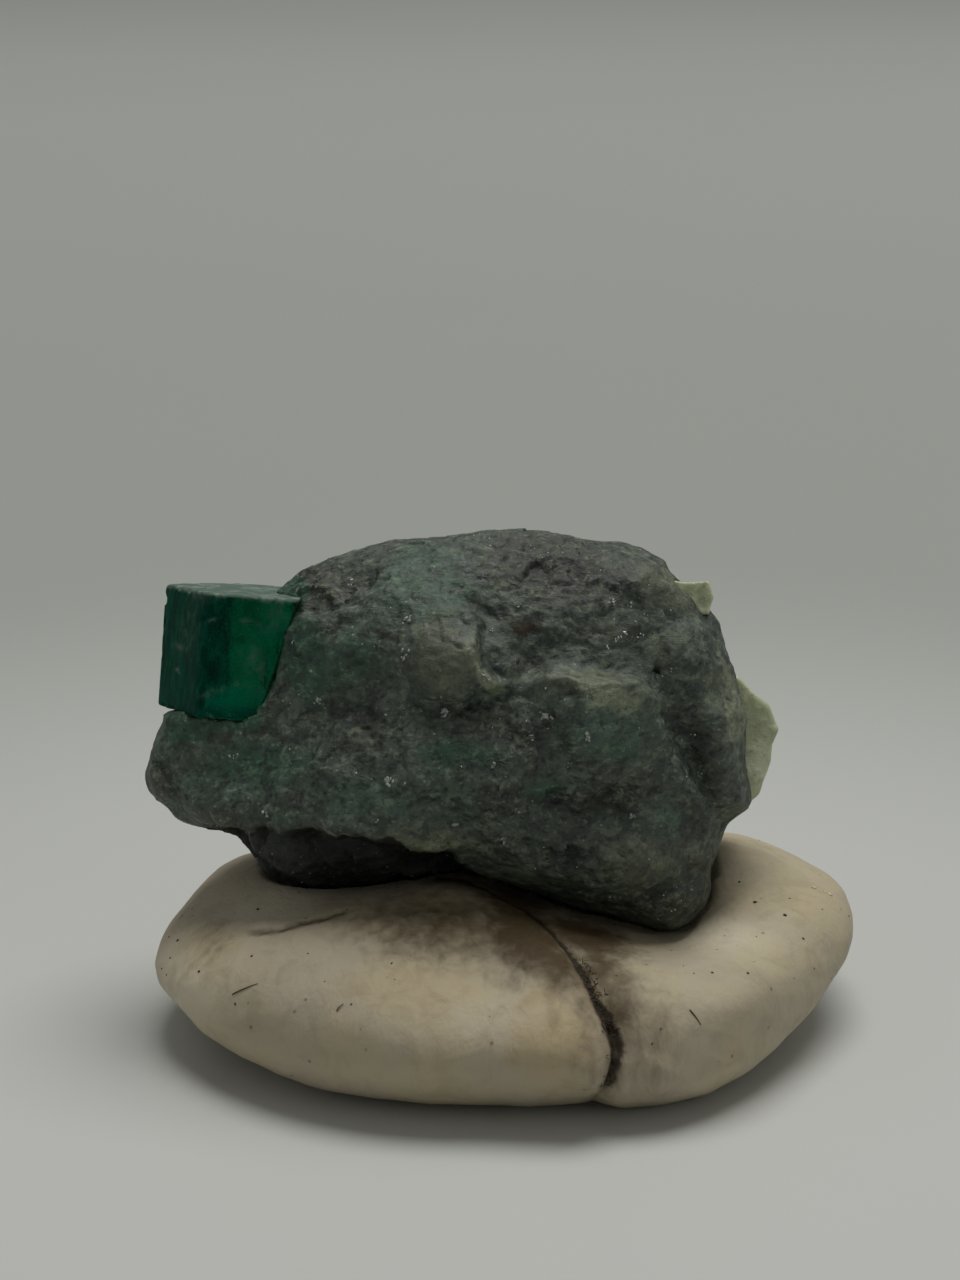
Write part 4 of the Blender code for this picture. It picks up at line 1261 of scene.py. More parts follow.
    def marks(self, plain: Array, x: Array, z: Array, facing: Array) -> dict[str, Array]:
        """Where the stone takes each colour, and where the black lump beneath is, black both as dark
        rock and as painted shade below the lip and on the lowest part of the back.

        Args:
            plain: points of the plain block.
            x: their sideways places as seen.
            z: their upward places as seen.
            facing: 1 on the front and 0 at the back.

        Returns:
            A number from 0 to 1 for each point, by name.
        """
        x = x + lumps(plain, [(1.6, 0.25, 31), (0.6, 0.16, 32)])
        z = z + lumps(plain, [(1.6, 0.25, 33), (0.6, 0.16, 34)])
        zones = {
            "brown": ((-5.6, 5.6, 2.2, 1.3, 15, 0.65), (4.6, 6.3, 3.6, 1.9, -4, 0.9),
                      (9.8, 3.0, 2.2, 1.9, 0, 0.4), (6.0, 3.8, 3.4, 1.3, -8, 0.35),
                      (1.2, 0.0, 2.2, 0.7, 0, 0.6), (-12.3, -2.8, 0.8, 1.0, 0, 0.8),
                      (11.4, -2.0, 1.2, 3.4, 8, 0.45), (6.5, -3.9, 2.4, 0.7, 5, 0.7),
                      (6.8, -6.4, 4.2, 1.2, -6, 0.4), (-3.6, -0.6, 1.2, 1.0, 0, 0.6),
                      (9.6, -8.2, 2.6, 1.1, 10, 0.6), (-9.8, -3.8, 3.2, 1.2, -4, 0.55)),
            "sage": ((-1.2, 5.7, 2.7, 2.1, 0, 0.9), (-3.0, 4.6, 2.2, 1.1, 0, 0.6),
                     (-9.2, -2.6, 4.0, 2.2, 0, 0.6), (-3.6, -3.4, 2.8, 1.2, -5, 0.8),
                     (-0.2, -3.6, 2.6, 1.8, -20, 0.6), (7.0, -0.4, 2.7, 1.9, -8, 0.9),
                     (-12.2, -1.0, 0.7, 1.2, 0, 0.9), (9.6, -4.6, 1.0, 1.2, 0, 0.7)),
            # Olive patches: mostly stone colour; the rows along the lip and the block's top edge are
            # painted highlights.
            "olive": ((-0.2, 2.2, 1.6, 1.6, 0, 1.0), (9.4, 5.6, 1.9, 1.0, -30, 0.9),
                      (-9.0, -4.3, 3.4, 0.7, -3, 0.35), (8.2, -6.2, 2.6, 1.3, 0, 0.75),
                      (6.6, 3.4, 2.6, 0.8, -8, 0.45), (9.4, 3.0, 1.4, 1.2, 0, 0.5),
                      (-0.6, -5.6, 3.6, 0.6, -8, 0.6), (6.6, 1.1, 3.0, 0.9, -8, 0.85),
                      (-0.6, 4.0, 1.4, 0.6, 30, 0.6), (11.6, 1.2, 0.9, 1.6, 0, 0.6)),
            "green": ((-11.2, -0.6, 1.4, 0.6, 0, 1.0), (-6.2, 2.4, 1.2, 2.6, 10, 0.8),
                      (-4.2, 2.4, 2.2, 1.6, 0, 0.6), (-8.0, -2.0, 3.6, 1.4, 0, 0.65),
                      (0.6, -1.6, 2.2, 0.9, 0, 0.75), (7.4, -1.6, 1.1, 0.7, 0, 0.6),
                      (4.0, -3.4, 1.4, 0.9, 0, 0.6), (-7.0, -4.2, 1.6, 0.5, 0, 0.5)),
            # Pale patches: pale veins by the pale crystals, and painted highlights along the knob's
            # rim, the block's top edge and the lip's edge.
            "pale": ((9.6, 6.2, 1.6, 1.0, -35, 0.42), (7.8, 7.0, 1.4, 0.4, -15, 0.4),
                     (12.3, 0.4, 0.8, 2.4, 0, 0.65), (5.6, 1.6, 2.9, 0.4, -6, 0.45),
                     (1.2, 2.5, 0.45, 1.1, 6, 0.65), (2.0, 1.3, 0.7, 0.3, -12, 1.1),
                     (1.5, 1.7, 0.5, 0.35, -45, 0.9), (4.3, 3.0, 1.5, 0.5, 5, 0.35),
                     (-0.4, 1.2, 1.7, 0.9, 0, 0.4), (9.4, 2.8, 0.9, 0.9, 0, 0.35),
                     (6.9, 0.5, 2.4, 1.0, -8, 0.6), (-6.8, 5.0, 0.6, 0.2, -10, 0.6),
                     (10.6, -8.4, 0.9, 1.0, 0, 0.2), (-0.4, -5.6, 3.4, 0.4, -9, 0.5),
                     (3.2, -6.9, 1.9, 0.7, -20, 0.5)),
            # Dark patches: partly dark stone, partly painted shade in the grooves, under the block's
            # top edge and the knob, in the cleft and pit on the right, up on the right and under the
            # rolled bottom edge.
            "dark": ((-3.9, -0.1, 1.1, 0.7, 20, 0.6), (2.4, -3.8, 1.2, 1.2, -10, 0.6),
                     (4.6, -3.7, 0.8, 0.5, 0, 0.8), (6.6, -3.8, 1.6, 0.35, 5, 0.6),
                     (5.4, -6.1, 1.4, 0.4, -5, 0.75), (9.9, 0.0, 0.5, 1.4, 8, 0.5),
                     (7.9, 4.2, 1.4, 0.6, 0, 0.55), (5.2, 6.0, 3.3, 1.2, -5, 0.75),
                     (-8.8, -4.1, 2.6, 0.8, -3, 0.35), (10.2, -8.3, 1.6, 0.8, 10, 0.25),
                     (3.2, -0.9, 1.5, 1.7, 0, 0.55), (-6.2, -1.2, 2.6, 0.6, 0, 0.35),
                     (-3.9, 5.0, 0.7, 0.6, 30, 0.7), (8.0, -8.1, 2.2, 0.35, -2, 0.8),
                     (10.9, -4.0, 0.6, 1.6, 10, 0.35), (0.5, 0.1, 2.2, 0.28, 0, 0.4),
                     (9.05, 1.9, 0.3, 0.25, 0, 0.9), (1.2, 3.1, 0.8, 0.4, 0, 0.3),
                     (5.4, 0.9, 0.5, 0.25, 0, 0.7), (9.0, -3.3, 0.9, 0.35, 20, 0.6),
                     (3.2, 2.2, 0.9, 0.26, 12, 0.85), (5.4, 2.3, 1.5, 0.18, 0, 0.6),
                     (7.6, 1.95, 1.4, 0.18, -18, 0.5), (9.2, 1.4, 0.6, 0.2, -50, 0.6),
                     (0.0, 0.4, 1.9, 0.2, 0, 0.4)),
            "rust": ((3.4, 3.6, 0.7, 0.35, -10, 1.0), (2.7, 3.7, 0.5, 0.3, 0, 0.6)),
        }
        first = lumps(plain, [(3.4, 0.9, 35), (1.2, 0.45, 36)])
        second = lumps(plain, [(2.8, 0.9, 37), (1.0, 0.45, 38)])
        behind = {"sage": smooth_step(0.0, 0.6, first), "brown": smooth_step(0.0, -0.6, first),
                  "pale": smooth_step(0.5, 0.95, second) * 0.7,
                  "green": smooth_step(-0.3, -0.8, second) * 0.6,
                  "dark": smooth_step(-0.35, -0.8, first + 0.4 * second) * 0.6}
        marks = {name: patches(x, z, rows) * facing for name, rows in zones.items()}
        for name, share in behind.items():
            marks[name] = marks[name] + (1.0 - facing) * share
        # Below the lip: the black lump, which also paints the shade on the lip's underside; on the
        # back the lowest part is painted black as shade, darker towards the bottom.
        beside, _, run = beside_path(x, z, self.lip)
        under = smooth_step(0.2, -0.15, beside) * smooth_step(0.98, 0.9, run)
        marks["lump"] = np.maximum(under * facing,
                                   smooth_step(-6.2, -7.2, plain[:, 2]) * (1.0 - facing)
                                   * smooth_step(6.0, 3.0, x))
        return marks

    def build(self, crystals: list[Crystal]) -> tuple[Array, Array, Array]:
        """Make the rock with the seats of its crystals.

        Args:
            crystals: what sits in it.

        Returns:
            Its points and outward directions in the rock's frame, and where mica is thick:
            on the black lump and the dark patches.
        """
        rays, faces = Skin(self.cells).grid()
        points, marks = self.surface(rays)
        radius = np.linalg.norm(points, axis=1)
        rays = points / radius[:, None]
        near = smooth_step(1.6, 0.2, crystals[0].clear(points))
        marks["green"] = np.maximum(marks["green"], near)
        for crystal in crystals:
            radius = settle(rays, radius, crystal, -0.03)
        points = rays * radius[:, None]
        piece = make_piece("matrix_stone", points @ self.axes().T + self.centre, faces,
                           StoneFinish().material(), marks)
        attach(piece, "root")
        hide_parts("matrix_rock")
        return points, point_normals(points, faces), marks["lump"] + marks["dark"]


@dataclass
class Grains:
    """Small grains bedded in a surface: flattened pebbles or thin plates."""

    name: str
    kind: GrainKind
    node_slot: str
    flatness: float
    cells: int = 2
    ragged: float = 0.25

    def build(self, places: Array, normals: Array, sizes: Array, seed: int) -> None:
        """Make all the grains as one piece.

        Each grain is a small skin, its rays scaled by random shares and flattened along the
        surface's outward direction.

        Args:
            places: middles of the grains in the row frame.
            normals: the directions they are flattened along.
            sizes: half widths.
            seed: of their shapes.
        """
        dice = np.random.default_rng(seed)
        rays, faces = Skin(self.cells).grid()
        count = len(places)
        across = np.cross(normals, dice.normal(size=(count, 3)))
        across = across / np.linalg.norm(across, axis=1)[:, None]
        other = np.cross(normals, across)
        axes = np.stack([across, other * dice.uniform(0.45, 1.0, (count, 1)),
                         normals * self.flatness], axis=1) * sizes[:, None, None]
        shares = 1.0 + self.ragged * dice.uniform(-1.0, 1.0, (count, len(rays), 1))
        points = (rays * shares) @ axes + places[:, None, :]
        numbers = faces + len(rays) * np.arange(count)[:, None, None]
        piece = make_piece(self.name, points.reshape(-1, 3), numbers.reshape(-1, 4),
                           self.kind.material(), smooth=False)
        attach(piece, "root")


@dataclass
class RockGrains:
    """White grains and mica plates bedded in the rock."""

    centre: Triple = Rock.centre
    bright: tuple[tuple[float, float, float], ...] = (
        (-1.68, 4.18, 0.16), (-1.98, 2.62, 0.14), (-0.16, 0.11, 0.2), (4.2, -0.02, 0.22),
        (5.94, -1.01, 0.17), (-2.59, -2.92, 0.17), (0.23, -4.65, 0.14), (-7.87, -4.26, 0.12),
        (-5.66, 0.63, 0.14), (1.57, 1.54, 0.15), (3.6, -1.0, 0.12), (5.2, -2.1, 0.1),
        (1.9, -2.2, 0.1), (-9.3, -1.7, 0.1), (7.9, -4.4, 0.14), (2.4, -5.4, 0.12),
    )
    glints: tuple[tuple[float, float, float], ...] = (
        (7.63, 3.49, 0.2), (6.9, 2.92, 0.16), (7.11, 4.87, 0.12), (7.89, 4.75, 0.1),
        (8.28, 3.49, 0.13), (7.3, 3.3, 0.12), (-4.19, 5.74, 0.14), (1.9, 3.7, 0.08),
        (9.6, 1.9, 0.09), (10.6, -0.9, 0.1), (10.9, -2.6, 0.1), (8.3, -0.6, 0.07),
        (9.3, -7.8, 0.12), (9.9, -7.3, 0.1), (10.2, -8.1, 0.12), (10.5, -7.5, 0.09),
        (9.7, -8.5, 0.1), (10.6, -8.4, 0.08), (9.0, -8.7, 0.08), (8.6, 4.3, 0.08),
    )

    deepest: float = 2.0
    cluster: int = 5
    random_size: Pair = (0.02, 0.07)

    def build(self, rock: Rock, points: Array, normals: Array, sparkle: Array) -> None:
        """Bed the grains: a cluster at each place of its own, and others at random.

        Args:
            rock: the rock.
            points: its points, in its frame.
            normals: its outward directions.
            sparkle: where mica is thick.
        """
        dice = np.random.default_rng(5)
        anywhere = np.full(len(points), 0.3)
        for kind, rows, extra, chance, name, flat in (
                (GrainKind.QUARTZ, self.bright, 90, anywhere, "white_grains", 0.4),
                (GrainKind.MICA, self.glints, 420, 0.15 + sparkle, "mica_plates", 0.13)):
            random = dice.choice(len(points), extra, replace=False, p=chance / chance.sum())
            spots = np.repeat(np.array(rows), self.cluster, axis=0)
            spots[:, :2] += dice.normal(size=(len(spots), 2)) * spots[:, 2:] * 0.6
            spots[:, 2] *= dice.uniform(0.3, 0.85, len(spots))
            shown = showing_nearest(points, self.centre, spots, self.deepest)
            at = np.concatenate([shown, random])
            size = np.concatenate([spots[:, 2], dice.uniform(*self.random_size, extra)])
            tilt = normals[at] + dice.normal(size=(len(at), 3)) * 0.35
            tilt = tilt / np.linalg.norm(tilt, axis=1)[:, None]
            lift = points[at] + normals[at] * (size * flat * 0.25)[:, None]
            grains = Grains(name, kind, "matrix_stone", flat, cells=1 + (kind is GrainKind.QUARTZ),
                            ragged=0.4)
            grains.build(lift @ rock.axes().T + rock.centre, tilt @ rock.axes().T, size, 6)


# ---------------------------------------------------------------- the putty

@dataclass
class Putty:
    """The lump of putty: a kneaded pebble folded over itself, pressed by the rock."""

    centre: Triple = (0.0, 0.0, 3.0)
    half: Triple = (15.1, 12.0, 4.3)
    cells: int = 124
    outline: tuple[Pair, ...] = (
        (15.0, 1.0), (15.1, 2.0), (14.9, 2.9), (14.2, 3.6), (12.9, 4.3), (11.6, 4.9),
        (10.3, 5.3), (6.0, 5.7), (-1.0, 5.7), (-7.5, 5.3), (-11.2, 4.4), (-12.3, 3.8),
        (-13.3, 2.9), (-14.2, 1.8), (-14.9, 0.7), (-15.15, -0.3), (-14.9, -1.3), (-14.2, -2.1),
        (-13.1, -3.2), (-11.3, -4.3), (-9.6, -5.0), (-7.4, -5.7), (-5.3, -6.1), (-3.1, -6.3),
        (-0.9, -6.4), (1.2, -6.4), (3.0, -6.15), (3.7, -6.1), (5.1, -6.3), (6.8, -6.1),
        (8.6, -5.7), (10.3, -4.8), (11.6, -3.8), (12.9, -2.5), (13.8, -1.4), (14.6, -0.1),
    )
    swells: tuple[tuple[float, ...], ...] = (
        (-4.0, -2.0, 5.5, 2.6, -8, 0.5), (-12.0, 0.6, 2.2, 1.8, 0, 0.3),
        (8.5, -1.5, 3.5, 3.0, 20, 0.3), (12.0, 2.6, 2.4, 1.5, -10, 0.3),
        (-8.8, 2.4, 2.4, 0.9, 10, -0.3), (1.2, 0.4, 1.4, 1.8, 60, 0.3),
        (2.0, -2.8, 2.4, 2.8, 0, 0.35),
    )
    dents: tuple[tuple[float, ...], ...] = ((7.0, -2.5, 5.5, 4.5, 1.1), (-6.5, 0.0, 4.5, 2.6, 0.5))
    seat_edge: tuple[Pair, ...] = (
        (-13.5, 8.5), (-11.7, 5.0), (-10.7, 4.4), (-9.2, 3.2), (-8.3, 3.0), (-5.7, 3.2),
        (-3.1, 3.6), (-1.4, 3.8), (-0.1, 3.4), (1.2, 3.0), (2.5, 2.6), (3.6, 2.25), (5.1, 1.85),
        (6.6, 1.4), (7.4, 1.2), (8.3, 1.65), (9.0, 2.3), (9.8, 3.1), (11.2, 4.5), (12.6, 6.2),
        (14.0, 8.5),
    )
    seat_depth: float = 1.0
    seat_slope: float = 0.12
    seat_blur: float = 0.7
    seat_softness: Pair = (0.22, 2.4)
    fold: tuple[Pair, ...] = (
        (2.9, -7.4), (3.7, -6.4), (4.35, -5.8), (4.75, -5.2), (4.98, -4.2), (4.8, -3.2),
        (4.2, -2.0), (3.6, -0.5), (2.9, 1.0), (2.0, 2.3), (0.8, 3.2), (-0.9, 3.8),
        (-2.8, 4.1),
    )
    wrinkle: tuple[Pair, ...] = ((-11.5, 1.1), (-9.8, 1.0), (-9.0, 1.4), (-7.7, 1.7), (-6.0, 2.3))
    imprint_cell: float = 0.25
    grid_half: float = 20.0
    # Dirt and painted shade: darkest just under the rock and beside the upper crease.
    grime_and_shade_spots: tuple[tuple[float, ...], ...] = (
        (-2.2, 1.3, 5.0, 1.9, -2, 0.68), (-6.6, 2.6, 1.6, 0.7, 12, 0.3),
        (-12.4, 0.5, 1.0, 1.2, 0, 0.35), (0.6, 2.3, 2.4, 0.9, -18, 0.9),
        (1.0, 0.9, 2.7, 1.8, -34, 1.0), (2.5, -0.4, 1.2, 1.8, 22, 0.85),
        (3.6, -1.9, 0.9, 1.6, 20, 0.55), (2.2, -2.4, 0.4, 1.4, 10, 0.3),
        (0.4, -0.9, 1.6, 0.9, -10, 0.4), (3.6, 0.9, 2.6, 0.9, -16, 0.95),
        (4.2, -0.4, 1.2, 1.4, 15, 0.8), (5.1, -1.9, 1.1, 1.7, 0, 0.8),
        (3.7, -3.8, 1.0, 1.8, 0, 0.35), (6.2, -3.4, 1.9, 3.2, 0, 0.42),
        (-5.4, 1.9, 0.8, 0.9, 30, 0.5),
    )
    yellowed: tuple[tuple[float, ...], ...] = (
        (2.2, -3.4, 2.6, 3.0, 0, 0.8), (-3.5, -1.5, 5.0, 1.8, -6, 0.5),
        (13.6, 2.4, 1.6, 1.0, -20, 0.4), (-12.8, 0.2, 2.0, 1.8, 0, 0.6),
    )
    # Painted light: lighter spots at the left end, in front of the black lump, below the rock's foot
    # and on the front.
    painted_light_spots: tuple[tuple[float, ...], ...] = (
        (-13.4, -0.4, 1.8, 2.4, 0, 1.0), (0.2, -2.6, 3.4, 1.5, 0, 0.2),
        (-10.2, 2.4, 2.8, 1.1, 12, 1.0), (9.0, 1.1, 2.4, 0.8, -5, 0.8),
    )

    def edge_as_seen(self, axes: Array, angle: Array) -> Array:
        """Distance from its centre to the edge of the plain ellipsoid as seen from VIEWPOINT.

        The rays that graze it form a cone, and the cone meets the plane through the centre
        where a quadratic in the distance is zero.

        Args:
            axes: the sight frame's columns.
            angle: directions on the plane.

        Returns:
            One distance for each direction.
        """
        distance = np.linalg.norm(np.subtract(self.centre, VIEWPOINT))
        form = axes.T @ np.diag(1.0 / np.array(self.half) ** 2) @ axes
        outward = np.stack([np.cos(angle), np.zeros(angle.shape), np.sin(angle)], axis=1)
        depth_term = distance ** 2 * form[1, 1]
        mixed = distance * (outward @ form[1])
        square = (depth_term - 1.0) * np.sum(outward @ form * outward, axis=1) - mixed ** 2
        return (mixed + np.sqrt(mixed ** 2 + square * depth_term)) / square

    def surface(self, rays: Array) -> tuple[Array, dict[str, Array]]:
        """The putty's skin: an ellipsoid scaled to its outline, with folds, lumps and dents.

        Args:
            rays: unit directions from its centre in the row frame.

        Returns:
            Points in the row frame, and the marks that its finish reads.
        """
        half = np.array(self.half)
        axes = sight_frame(self.centre)
        local = rays @ axes
        angle = np.arctan2(local[:, 2], local[:, 0])
        turns = np.linspace(-0.6, 0.6, 13)
        fits = [outline_radius(self.outline, angle + turn) / self.edge_as_seen(axes, angle + turn)
                for turn in turns]
        exact, broad = fits[6], np.mean(fits, axis=0)
        x, z = as_seen(local / np.linalg.norm(rays / half, axis=1)[:, None], self.centre)
        by_rim = smooth_step(0.6, 0.97, np.hypot(x, z) / self.edge_as_seen(axes, angle))
        fitted = broad + (exact - broad) * by_rim
        lying = smooth_step(0.05, 0.45, np.hypot(local[:, 0], local[:, 2]))
        radius = (1.0 + (fitted - 1.0) * lying) / np.linalg.norm(rays / half, axis=1)
        plain = local * radius[:, None]
        facing = smooth_step(0.25, -0.25, local[:, 1])
        x, z = as_seen(plain, self.centre)
        raised = np.sum([row[5] * oval(x, z, row) for row in self.swells], axis=0)
        raised = raised + Fold(self.fold).height(x, z)
        raised = raised + Stroke(self.wrinkle, depth=0.25, width=0.18).height(x, z)
        soft = lumps(plain, [(7.0, 0.30, 21), (2.6, 0.08, 22), (1.1, 0.03, 23), (0.5, 0.012, 24)])
        points = (plain + local * (raised * facing + soft)[:, None]) @ axes.T + self.centre
        for cx, cy, long, wide, depth in self.dents:
            apart = ((points[:, 0] - cx) / long) ** 2 + ((points[:, 1] - cy) / wide) ** 2
            upper = smooth_step(1.5, 6.5, points[:, 2])
            points[:, 2] -= depth * np.exp(-apart) * upper
        points = self.below_seat(points, axes)
        points[:, 2] = np.maximum(points[:, 2], 0.0)
        shown = as_seen((points - self.centre) @ axes, self.centre)
        return points, self.marks(plain, (x, z), shown, facing)

    def below_seat(self, points: Array, axes: Array) -> Array:
        """Press the putty down in front of the rock until the rock's lower edge stands clear.

        The height allowed is the edge's height as seen, blurred sideways, less seat_slope
        times the distance in front of it; what stands above is taken off by a difference
        that is softened a little on the left and more on the right.

        Args:
            points: the putty's points in the row frame.
            axes: its sight frame's columns.

        Returns:
            The lowered points.
        """
        local = (points - self.centre) @ axes
        x, z = as_seen(local, self.centre)
        nearer = self.seat_depth - points[:, 1]
        edge = np.array(self.seat_edge)
        steps = np.arange(-self.grid_half, self.grid_half, 0.1)
        kernel = np.exp(-0.5 * (np.arange(-20, 21) * 0.1 / self.seat_blur) ** 2)
        height = np.interp(steps, edge[:, 0], edge[:, 1])
        height = np.convolve(height, kernel / kernel.sum(), "same")
        tight, loose = self.seat_softness
        soft = tight + (loose - tight) * smooth_step(-3.0, 3.0, x)
        excess = z - np.interp(x, steps, height) + self.seat_slope * nearer
        taken = 0.5 * (excess + np.sqrt(excess ** 2 + soft))
        taken = taken * smooth_step(-2.5, 1.0, nearer)
        local[:, 2] -= taken
        return local @ axes.T + self.centre

    def marks(self, plain: Array, drawn: tuple[Array, Array], shown: tuple[Array, Array],
              facing: Array) -> dict[str, Array]:
        """Where the putty is dirty and painted shaded, where its crease is dirty and painted dark,
        where it is yellowed, and where painted light lies on it.

        Args:
            plain: points before the relief.
            drawn: their sideways and upward places as seen, which the creases follow.
            shown: the same places after the relief and the rock have moved them.
            facing: 1 on the front and 0 at the back.

        Returns:
            A number from 0 to 1 for each point, by name.
        """
        wander = lumps(plain, [(0.5, 0.10, 25), (0.25, 0.05, 26)])
        beside, _, run = beside_path(*drawn, self.fold)
        # Along the crease: dirt and painted shade.
        thick = 0.17 + 0.17 * smooth_step(0.44, 0.30, run)
        soot_and_crease_shade = np.exp(-((beside + 1.3 * wander) / thick) ** 2) * smooth_step(0.08, 0.22, run)
        soot_and_crease_shade = soot_and_crease_shade * (0.8 + 0.2 * smooth_step(0.66, 0.40, run))
        # Darker on both sides of the crease and along the wrinkle: partly dirt, partly painted
        # shade.
        left = np.exp(-np.maximum(beside, 0.0) / 1.1) * smooth_step(-0.3, 0.1, beside)
        right = np.exp(np.minimum(beside, 0.0) / 0.7) * smooth_step(0.3, -0.1, beside) * 0.8
        edge = np.maximum(left, right) * smooth_step(0.02, 0.2, run) * 0.75
        wrinkle, ends, _ = beside_path(*drawn, self.wrinkle)
        edge = np.maximum(edge, np.exp(-((wrinkle + wander) / 0.16) ** 2) * ends * 0.7)
        x, z = shown
        # Dirt and painted shade under the rock, and painted contact shade just below its lower edge.
        above = patches(x, z, self.grime_and_shade_spots)
        lowest = np.array(self.seat_edge)
        below = np.interp(x, lowest[:, 0], lowest[:, 1]) - z
        contact_shade = np.exp(-np.maximum(below, 0.0) / 0.4) * smooth_step(7.0, 4.5, np.abs(x))
        above = np.maximum(above, 0.4 * contact_shade)
        warm = patches(x, z, self.yellowed)
        # Painted light spots.
        painted_light = patches(x, z, self.painted_light_spots)
        return {"soot_and_crease_shade": soot_and_crease_shade * facing, "grime_and_shade": np.maximum(edge, above) * facing,
                "warm": warm * facing, "painted_light": painted_light * facing}

    def build(self, rock_points: Array) -> tuple[Array, Array]:
        """Make the putty, pushed down under the rock that stands on it.

        The rock's lowest height is found over each cell of a level grid and spread to the
        cells beside it; no point of the putty stays above it.

        Args:
            rock_points: the rock's points in the row frame.

        Returns:
            Its points and its outward directions.
        """
        rays, faces = Skin(self.cells).grid()
        points, marks = self.surface(rays)
        count = int(2 * self.grid_half / self.imprint_cell)
        roof = np.full((count, count), np.inf)
        place = np.floor((rock_points[:, :2] + self.grid_half) / self.imprint_cell).astype(int)
        np.minimum.at(roof, (place[:, 0], place[:, 1]), rock_points[:, 2])
        for shift, axis in ((1, 0), (-1, 0), (1, 1), (-1, 1)):
            roof = np.minimum(roof, np.roll(roof, shift, axis))
        place = np.floor((points[:, :2] + self.grid_half) / self.imprint_cell).astype(int)
        above = points[:, 2] > 0.0
        pressed = np.maximum(np.minimum(points[:, 2], roof[place[:, 0], place[:, 1]]), 0.0)
        points[:, 2] = np.where(above, pressed, points[:, 2])
        piece = make_piece("kneaded_putty", points, faces, PuttyFinish().material(), marks)
        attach(piece, "root")
        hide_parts("putty_mount")
        return points, point_normals(points, faces)


